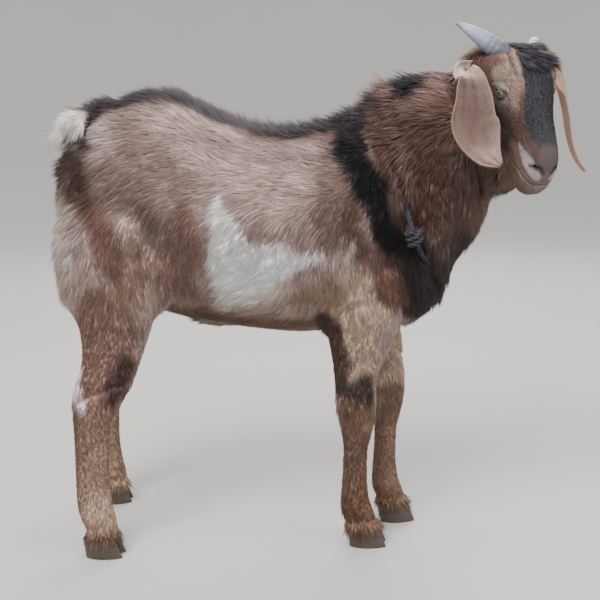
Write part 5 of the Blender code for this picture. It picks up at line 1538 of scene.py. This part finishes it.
def coat_length(p, normal):
    """How long a tuft is and how far it lifts, in metres and radians."""
    x, y, z = p.T
    long = np.full(len(p), 0.025)
    low = ease(0.47, 0.38, z)
    lift = math.radians(13) - math.radians(4) * low
    long = long * (1 - low) + 0.016 * low
    feet = ease(0.26, 0.20, z)
    cuff = ease(0.062, 0.048, z)
    long = long * (1 - feet) + 0.0115 * feet + 0.003 * ease(0.085, 0.065, z) + 0.007 * cuff
    lift = lift + math.radians(22) * cuff
    knee = np.exp(-((z - 0.262) ** 2 / 0.028 ** 2)) * (x > 0)
    long = long + 0.007 * knee
    ridge = (ease(0.034, 0.010, np.abs(y)) * ease(0.60, 0.66, z) * ease(0.29, 0.25, x)
             * ease(-0.34, -0.30, x))
    mane = ridge * ease(-0.130, -0.040, x) * ease(0.230, 0.180, x)
    long = long * (1 - ridge) + 0.032 * ridge + 0.009 * mane
    lift = lift + math.radians(10) * ridge + math.radians(19) * mane
    neck = ease(0.12, 0.19, x) * ease(0.40, 0.46, z)
    long = long + 0.011 * neck
    lift = lift + math.radians(4) * neck
    chest = ease(0.15, 0.20, x) * ease(0.56, 0.50, z) * ease(0.36, 0.40, z)
    long = long + 0.008 * chest
    fringe = ease(-0.34, -0.375, x) * ease(0.42, 0.46, z)
    long = long + 0.008 * fringe
    lift = lift + math.radians(4) * fringe
    belly = ease(0.40, 0.37, z) * ease(0.10, 0.07, np.abs(y)) * ease(-0.25, -0.2, x) * ease(0.12, 0.08, x)
    long = long + 0.008 * belly
    share = head_share(p)
    head = in_head(p)
    face = 0.0065 + 0.004 * ease(-0.03, -0.06, head[:, 1]) - 0.0030 * ease(0.15, 0.19, head[:, 0])
    face = face + 0.005 * ease(0.05, 0.01, head[:, 0])
    face = face + (0.003 * ease(0.02, 0.01, np.abs(head[:, 2])) * ease(0.10, 0.06, head[:, 0])
                   * (head[:, 1] > 0))
    long = long * (1 - share) + face * share
    lift = lift * (1 - share) + math.radians(14) * share
    tail = ease(-0.332, -0.345, x) * ease(0.645, 0.665, z)
    beneath = ease(-0.1, -0.6, normal[:, 2])
    long = long * (1 - tail) + (0.030 + 0.010 * beneath) * tail
    lift = lift * (1 - tail) + np.radians(34 + 30 * beneath) * tail
    seat = (ease(0.045, 0.020, np.abs(y)) * ease(-0.325, -0.340, x) * ease(0.705, 0.685, z)
            * ease(0.62, 0.65, z))
    seat = seat * (1 - tail)
    long = long + 0.008 * seat
    lift = lift + math.radians(20) * seat
    return long, lift


# how quickly a tuft's painted root shade gives way to its painted tip light
TIP_FADE = 0.8
PATCH_SIZE = 0.0015
TUFT_TREE = bpy.data.node_groups.new("tufts", "GeometryNodeTree")
TUFT_TREE.interface.new_socket("Geometry", in_out="INPUT", socket_type="NodeSocketGeometry")
for name, kind, value in (("Segments", "NodeSocketInt", 2), ("Width", "NodeSocketFloat", 0.1),
                          ("Thickness", "NodeSocketFloat", 0.05), ("Bend", "NodeSocketFloat", 0.1),
                          ("Material", "NodeSocketMaterial", None)):
    made = TUFT_TREE.interface.new_socket(name, in_out="INPUT", socket_type=kind)
    if value is not None:
        made.default_value = value
TUFT_TREE.interface.new_socket("Geometry", in_out="OUTPUT", socket_type="NodeSocketGeometry")


def carried(name, kind="FLOAT_VECTOR"):
    """An attribute that the roots, or a tuft's own points, carry."""
    return tuft.node("GeometryNodeInputNamedAttribute", {"data_type": kind}, {"Name": name}, "Attribute")


def noted(geometry, name, kind, domain, value):
    """Stores an attribute on a geometry."""
    return tuft.node("GeometryNodeStoreNamedAttribute", {"data_type": kind, "domain": domain},
                     {"Geometry": geometry, "Name": name, "Value": value})


tuft = Graph(TUFT_TREE)
given = {socket.name: Wire(tuft, socket) for socket in tuft.node("NodeGroupInput").socket.node.outputs}
cone = tuft.node("GeometryNodeMeshCone", {"fill_type": "NGON"}, {
    "Vertices": 3, "Side Segments": given["Segments"], "Fill Segments": 1, "Radius Top": 0.0,
    "Radius Bottom": 1.0, "Depth": 1.0})
cone = tuft.node("GeometryNodeTransform", None, {"Geometry": cone, "Rotation": (0.0, 0.0, math.radians(90))})
spot = tuft.node("GeometryNodeInputPosition")
wide, thick, high = spot.split()
shape = tuft.node("ShaderNodeCombineXYZ", None, {
    "X": wide * given["Width"], "Y": thick * given["Thickness"] - high * high * given["Bend"], "Z": high})
bent = tuft.node("GeometryNodeSetPosition", None, {
    "Geometry": noted(cone, "local", "FLOAT_VECTOR", "POINT", spot), "Position": shape})
aim = tuft.node("FunctionNodeAxesToRotation", {"primary_axis": "Z", "secondary_axis": "Y"}, {
    "Primary Axis": carried("lie"), "Secondary Axis": carried("up")})
placed = tuft.node("GeometryNodeInstanceOnPoints", None, {
    "Points": tuft.node("GeometryNodeMeshToPoints", None, {"Mesh": given["Geometry"]}),
    "Instance": bent, "Rotation": aim, "Scale": carried("size")})
hair = tuft.node("GeometryNodeRealizeInstances", None, {"Geometry": placed})
wide, thick, high = carried("local").split()
# each tuft's tone runs from its root, darkened as painted shade, to its tip, brightened as painted light
hair = noted(hair, "tone", "FLOAT_COLOR", "POINT", tuft.mix(
    high ** TIP_FADE, carried("root_tone", "FLOAT_COLOR"), carried("tip_tone", "FLOAT_COLOR")))
flat = tuft.node("ShaderNodeCombineXYZ", None, {"X": wide, "Y": high})
small = tuft.node("ShaderNodeVectorMath", {"operation": "SCALE"}, {0: flat, "Scale": PATCH_SIZE})
patch = tuft.node("ShaderNodeVectorMath", {"operation": "ADD"}, {0: small, 1: carried("patch")})
hair = noted(hair, "OFBake", "FLOAT2", "CORNER", patch)
hair = tuft.node("GeometryNodeSetShadeSmooth", None, {"Geometry": hair})
hair = tuft.node("GeometryNodeSetMaterial", None, {"Geometry": hair, "Material": given["Material"]})
tuft.node("NodeGroupOutput", None, {"Geometry": hair})

coat_finish = Finish("goat_hair", 0.62, Specular_IOR_Level=0.35)
coat_finish.into("Base Color", coat_finish.read("tone"))


def triangles_of(mesh):
    """A mesh's triangles as rows of point numbers."""
    mesh.calc_loop_triangles()
    return read_rows(mesh.loop_triangles, "vertices", np.int32)


def unit(rows):
    """Directions at length 1."""
    return rows / np.linalg.norm(rows, axis=1)[:, None]


def lay_flat(lie, up):
    """Directions turned to lie along the surface, at length 1."""
    return unit(lie - up * np.sum(lie * up, axis=1)[:, None])


def roots_on(p, normal, rows, count, draw):
    """Places spread evenly over some triangles, with the way the surface faces there."""
    a, b, c = (p[rows[:, k]] for k in range(3))
    area = np.linalg.norm(np.cross(b - a, c - a), axis=1) / 2
    reach = np.cumsum(area)
    picks = np.searchsorted(reach, (np.arange(count) + draw.random(count)) / count * reach[-1])
    picks = np.clip(picks, 0, len(rows) - 1)
    u = np.sqrt(draw.random(count))[:, None]
    v = draw.random(count)[:, None]
    spots = a[picks] * (1 - u) + b[picks] * (u * (1 - v)) + c[picks] * (u * v)
    ways = (normal[rows[picks, 0]] * (1 - u) + normal[rows[picks, 1]] * (u * (1 - v))
            + normal[rows[picks, 2]] * (u * v))
    return spots, unit(ways), picks


def grow(name, spots, up, lie, size, tones, patch, segments, width, thickness, bend, slot="hide"):
    """Grows one piece of coat from its roots."""
    mesh = bpy.data.meshes.new(name)
    mesh.from_pydata(spots.tolist(), [], [])
    store(mesh, "up", "FLOAT_VECTOR", up)
    store(mesh, "lie", "FLOAT_VECTOR", lie)
    store(mesh, "size", "FLOAT_VECTOR", size)
    store(mesh, "patch", "FLOAT_VECTOR", np.column_stack((patch, np.zeros(len(patch)))))
    for key, tones_of in zip(("root_tone", "tip_tone"), tones):
        colour_points(mesh, key, tones_of)
    body = add_object(name, mesh)
    tufts = body.modifiers.new("tufts", "NODES")
    tufts.node_group = TUFT_TREE
    wanted = {"Segments": segments, "Width": width, "Thickness": thickness, "Bend": bend,
              "Material": coat_finish.material}
    for item in TUFT_TREE.interface.items_tree:
        if item.in_out == "INPUT" and item.name in wanted:
            tufts[item.identifier] = wanted[item.name]
    settle(body)
    carried_in = body.data.attributes
    for key in ("up", "lie", "size", "patch", "root_tone", "tip_tone", "local"):
        if key in carried_in:
            carried_in.remove(carried_in[key])
    set_down(body, name, coat_finish, False)
    print(name, triangle_count(body), "triangles")


def unroll(p, axis_from, axis_to, zero):
    """Places as shares round an axis and along it, the skin's own shape laid flat."""
    axis = np.array(axis_to, float) - np.array(axis_from, float)
    long = np.linalg.norm(axis)
    axis /= long
    zero = np.array(zero, float)
    zero -= axis * (zero @ axis)
    zero /= np.linalg.norm(zero)
    third = np.cross(axis, zero)
    off = p - np.array(axis_from, float)
    turn = np.arctan2(off @ third, off @ zero) / (2 * math.pi) + 0.5
    rise = off @ axis
    spread = np.column_stack((turn, (rise - rise.min()) / (rise.max() - rise.min() + 1e-9)))
    return 0.004 + spread * 0.990


skin_normals = facing(skin.data)
skin_rows = triangles_of(skin.data)
middles = skin_points[skin_rows].mean(axis=1)
mid_x, mid_y, mid_z = middles.T
face_part = head_share(middles) > 0.5
tail_part = ((mid_x < -0.338) & (mid_z > 0.655) & (np.abs(mid_y) < 0.05)
             & (mid_z > 0.62 + (-mid_x - 0.338) * 0.9))
neck_cut = (middles - np.array((0.152, 0.0, 0.600))) @ np.array((0.78, 0.0, 0.62)) > 0
neck_part = neck_cut & ~face_part & (mid_z > 0.36)
leg_part = ((mid_z < 0.405 - 0.25 * np.clip(0.06 - np.abs(mid_y), 0, 1)) & ((mid_x < -0.20) | (mid_x > 0.015))
            & (np.abs(mid_y) > 0.012) & ~((np.abs(mid_y) < 0.042) & (mid_z > 0.31) & (mid_x < -0.2)))
leg_part &= ~neck_part
rest = ~(face_part | tail_part | neck_part | leg_part)
# Kinds of hair: tufts, how far they are drawn together, segments, width, thickness, bend
TRUNK_HAIR = (35000, 0.42, 1, 0.027, 0.018, 0.0)
NECK_HAIR = (18000, 0.50, 2, 0.026, 0.017, 0.14)
TAIL_HAIR = (6500, 0.30, 2, 0.036, 0.022, 0.16)
HEAD_HAIR = (36000, 0.35, 1, 0.075, 0.045, 0.0)
LEG_HAIR = (18000, 0.35, 1, 0.048, 0.030, 0.0)
HEAD_AXIS = (tuple(head_point(0, 0, 0)), tuple(head_point(0.2, 0, 0)), tuple(-BROW))
# Each piece of coat: name, which triangles, kind of hair, unrolling axis
COATS = [("coat_" + name, rest & (mid_x >= back) & (mid_x < front), TRUNK_HAIR,
          ((-0.4, 0, height), (0.2, 0, height), (0, 0, -1)))
         for name, back, front, height in (("croup", -1, -0.235, 0.57), ("loin", -0.235, -0.105, 0.55),
                                           ("flank", -0.105, 0.015, 0.53), ("shoulder", 0.015, 1, 0.53))]
NECK_AXIS = ((0.15, 0, 0.52), (0.28, 0, 0.76), (-1, 0, 0.5))
COATS += [("coat_neck_" + name, neck_part & on_side, NECK_HAIR, NECK_AXIS)
          for name, on_side in (("right", mid_y < 0), ("left", mid_y >= 0))]
COATS.append(("coat_tail", tail_part, TAIL_HAIR, ((-0.33, 0, 0.70), (-0.41, 0, 0.68), (0, 0, -1))))
COATS.append(("coat_head", face_part, HEAD_HAIR, HEAD_AXIS))
for foot, (foot_x, foot_y) in FEET.items():
    here = leg_part & ((mid_x < -0.1) == (foot_x < -0.1)) & ((mid_y < 0) == (foot_y < 0))
    COATS.append(("coat_leg_" + foot, here, LEG_HAIR,
                  ((foot_x - 0.02, foot_y, 0.0), (foot_x - 0.02, foot_y, 0.4), (0, -foot_y, 0))))


def comb(spots, lie, up, long, lift, pull):
    """Lifts tufts off the skin and draws neighbours together in locks: their ways, sizes, shades."""
    tips = spots + (lie * np.cos(lift)[:, None] + up * np.sin(lift)[:, None]) * long[:, None]
    leaders = draw.permutation(len(spots))[:max(1, len(spots) // 7)]
    tree = kdtree.KDTree(len(leaders))
    for i, k in enumerate(leaders):
        tree.insert(spots[k], i)
    tree.balance()
    nearest = leaders[[tree.find(spot)[1] for spot in spots]]
    tips += (tips[nearest] + (spots - spots[nearest]) * 0.15 - tips) * pull
    way = tips - spots
    long = np.linalg.norm(way, axis=1)
    way /= long[:, None]
    way -= up * np.minimum(np.sum(way * up, axis=1) - 0.05, 0)[:, None]
    shade = 1 + draw.normal(0, 0.08, len(spots)) + draw.normal(0, 0.06, len(spots))[nearest]
    size = np.column_stack((long * draw.uniform(0.8, 1.25, len(spots)), long, long))
    return unit(way), size, shade


draw = np.random.default_rng(21)
rope_shown = rope_points[rope_points[:, 2] < 0.590]
rope_high = rope_points[rope_points[:, 2] > 0.600]
# Where no hair grows: on the hooves, under the rope and round the eyeballs; and how far tufts keep
# off the rope and the knot
HOOF_BARE = 0.041
ROPE_BARE = 0.0045
EYE_BARE = (0.0118, 0.0064, EYE_RADIUS + 0.006)
ROPE_CLEAR = 0.0065
KNOT_CLEAR = 0.018
for name, part, (count, pull, *form), axis in COATS:
    spots, up, picks = roots_on(skin_points, skin_normals, skin_rows[part], count, draw)
    along, brow, out = in_head(spots).T
    on_face = head_share(spots) > 0.3
    bare = spots[:, 2] < HOOF_BARE
    bare |= near_path(spots, np.vstack((rope_points, rope_points[:1])))[0] < ROPE_BARE
    for side in (1, -1):
        gaze, long_way, up_way = (np.array(way) for way in eye_axes(side))
        off = spots - np.array(eye_middle(side))
        bare |= ((np.abs(off @ long_way) < EYE_BARE[0]) & (np.abs(off @ up_way) < EYE_BARE[1])
                 & (np.linalg.norm(off, axis=1) < EYE_BARE[2]))
    bare |= on_face & (along > 0.198) & (brow > -0.026) & (brow < 0.004)
    bare |= on_face & (np.abs(brow - np.interp(along, *zip(*MOUTH))) < 0.0018) & (along > 0.158)
    spots, up = spots[~bare], up[~bare]
    lie = coat_lie(spots, up)
    long, lift = coat_length(spots, up)
    over = ease(0.024, 0.014, near_path(spots, rope_high)[0])
    long = (long + 0.010 * over) * draw.uniform(0.72, 1.20, len(spots))
    lift = lift + math.radians(16) * over
    lift = lift * draw.uniform(0.55, 1.45, len(spots))
    lie = lie + np.cross(up, lie) * draw.normal(0, 0.13, len(spots))[:, None]
    lie = unit(lie)
    way, size, shade = comb(spots, lie, up, long, lift, pull)
    # no tuft crosses the rope where it is seen
    clear = np.ones(len(spots), bool)
    for reach in (0.35, 0.70, 1.0):
        at_reach = spots + way * (size[:, 2] * reach)[:, None]
        clear &= near_path(at_reach, rope_shown)[0] > ROPE_CLEAR
        clear &= np.linalg.norm(at_reach - np.array(rope_path[at]), axis=1) > KNOT_CLEAR
    spots, up, lie, way, size, shade = (rows[clear] for rows in (spots, up, lie, way, size, shade))
    shade = (shade + 0.08 * cloud(spots, 0.014, 13))[:, None]
    tones = coat_tone(spots + lie * (size[:, 2] * 0.5)[:, None]) * shade
    # the roots painted darker as painted shade deep in the coat and the tips paler as painted light; less so
    # for pale hair and on the lower legs
    deep = 0.70 + 0.18 * ease(150, 205, tones.mean(axis=1)) + 0.12 * ease(205, 245, tones.mean(axis=1))
    deep = np.maximum(deep, 0.86 * ease(0.46, 0.36, spots[:, 2]))[:, None]
    sunk = np.where(spots[:, 2] < 0.42, 0.0002, 0.0006)[:, None]
    painted_tip_light = (1.10 - 0.06 * ease(0.46, 0.36, spots[:, 2]))[:, None]
    grow(name, spots - up * sunk, up, way, size, (tones * deep, tones * painted_tip_light), unroll(spots, *axis), *form)

# the forelock falls forward over the brow from between the horns and sweeps to the left; most of
# its roots fall elsewhere on the head and are dropped
FORELOCK_ROOTS = 60000
spots, up, picks = roots_on(skin_points, skin_normals, skin_rows[face_part], FORELOCK_ROOTS, draw)
along, brow, out = in_head(spots).T
here = (along > -0.008) & (along < 0.070) & (out > -0.046) & (brow > 0.036)
here &= out < np.interp(along, (0.0, 0.045, 0.055, 0.070), (0.034, 0.030, 0.014, 0.013))
here &= np.hypot(along - HORN_BASE[0], np.abs(out) - HORN_BASE[2]) > 0.015
spots, up, out = spots[here], up[here], out[here]
lie = (np.array(ALONG) * 0.75 + np.array(BROW) * 0.2
       - np.outer(0.35 + 0.5 * ease(0.0, -0.02, out), OUTWARD)
       + np.array(BROW) * (0.25 * cloud(spots, 0.012, 4))[:, None]
       + np.array(OUTWARD) * (0.30 * cloud(spots, 0.010, 5))[:, None])
long = (0.029 - 0.008 * ease(-0.020, -0.040, out)) * draw.uniform(0.7, 1.2, len(spots))
lift = np.radians(18 + 12 * ease(-0.010, -0.034, out)) * draw.uniform(0.6, 1.4, len(spots))
way, size, shade = comb(spots, lay_flat(lie, up), up, long, lift, 0.6)
tones = np.tile(np.array((54, 52, 60), float), (len(spots), 1))
tones = paint(tones, (104, 86, 78), ease(-0.030, -0.044, out))
tones = paint(tones, (132, 100, 90), ease(0.020, 0.032, out)) * shade[:, None]
print("forelock tufts", len(spots))
# roots darkened as painted shade and tips brightened as painted light
grow("coat_forelock", spots - up * 0.0006, up, way, size, (tones * 0.75, tones * 1.12),
     unroll(spots, *HEAD_AXIS), 3, 0.030, 0.020, 0.25)

EAR_TUFTS = 6500
EAR_HAIR_LIFT = 0.16
for ear, side_name, hang in ears:
    leaf = leaf_rows(ear.data)
    rows = triangles_of(ear.data)
    spots, up, picks = roots_on(places(ear.data), facing(ear.data), rows, EAR_TUFTS, draw)
    on_leaf = leaf[rows[picks]].mean(axis=1)
    lie = lay_flat(np.tile(hang, (len(spots), 1)), up)
    lie = lie + np.cross(up, lie) * draw.normal(0, 0.25, len(spots))[:, None]
    long = 0.0060 * draw.uniform(0.6, 1.2, len(spots))
    raised = lie * math.cos(EAR_HAIR_LIFT) + up * math.sin(EAR_HAIR_LIFT)
    tones = ear_tone(spots, on_leaf) * (1 + draw.normal(0, 0.07, len(spots)))[:, None]
    size = np.column_stack((long, long, long))
    patch = np.column_stack(((on_leaf[:, 0] + 1) * 0.24 + (on_leaf[:, 2] > 0) * 0.5, on_leaf[:, 1]))
    # roots darkened as painted shade and tips brightened as painted light
    grow("coat_ear_" + side_name, spots - up * 0.0003, up, raised, size, (tones * 0.75, tones * 1.05),
         0.004 + patch * 0.985, 1, 0.075, 0.040, 0.10, "ear_skin")
    set_down(ear, "ear_leaf_" + side_name, ear_finish)
    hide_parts("ear_" + side_name)

set_down(skin, "goat_skin", hide)
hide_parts("torso", "neck", "head", "tail", *("leg_" + foot for foot in FEET))
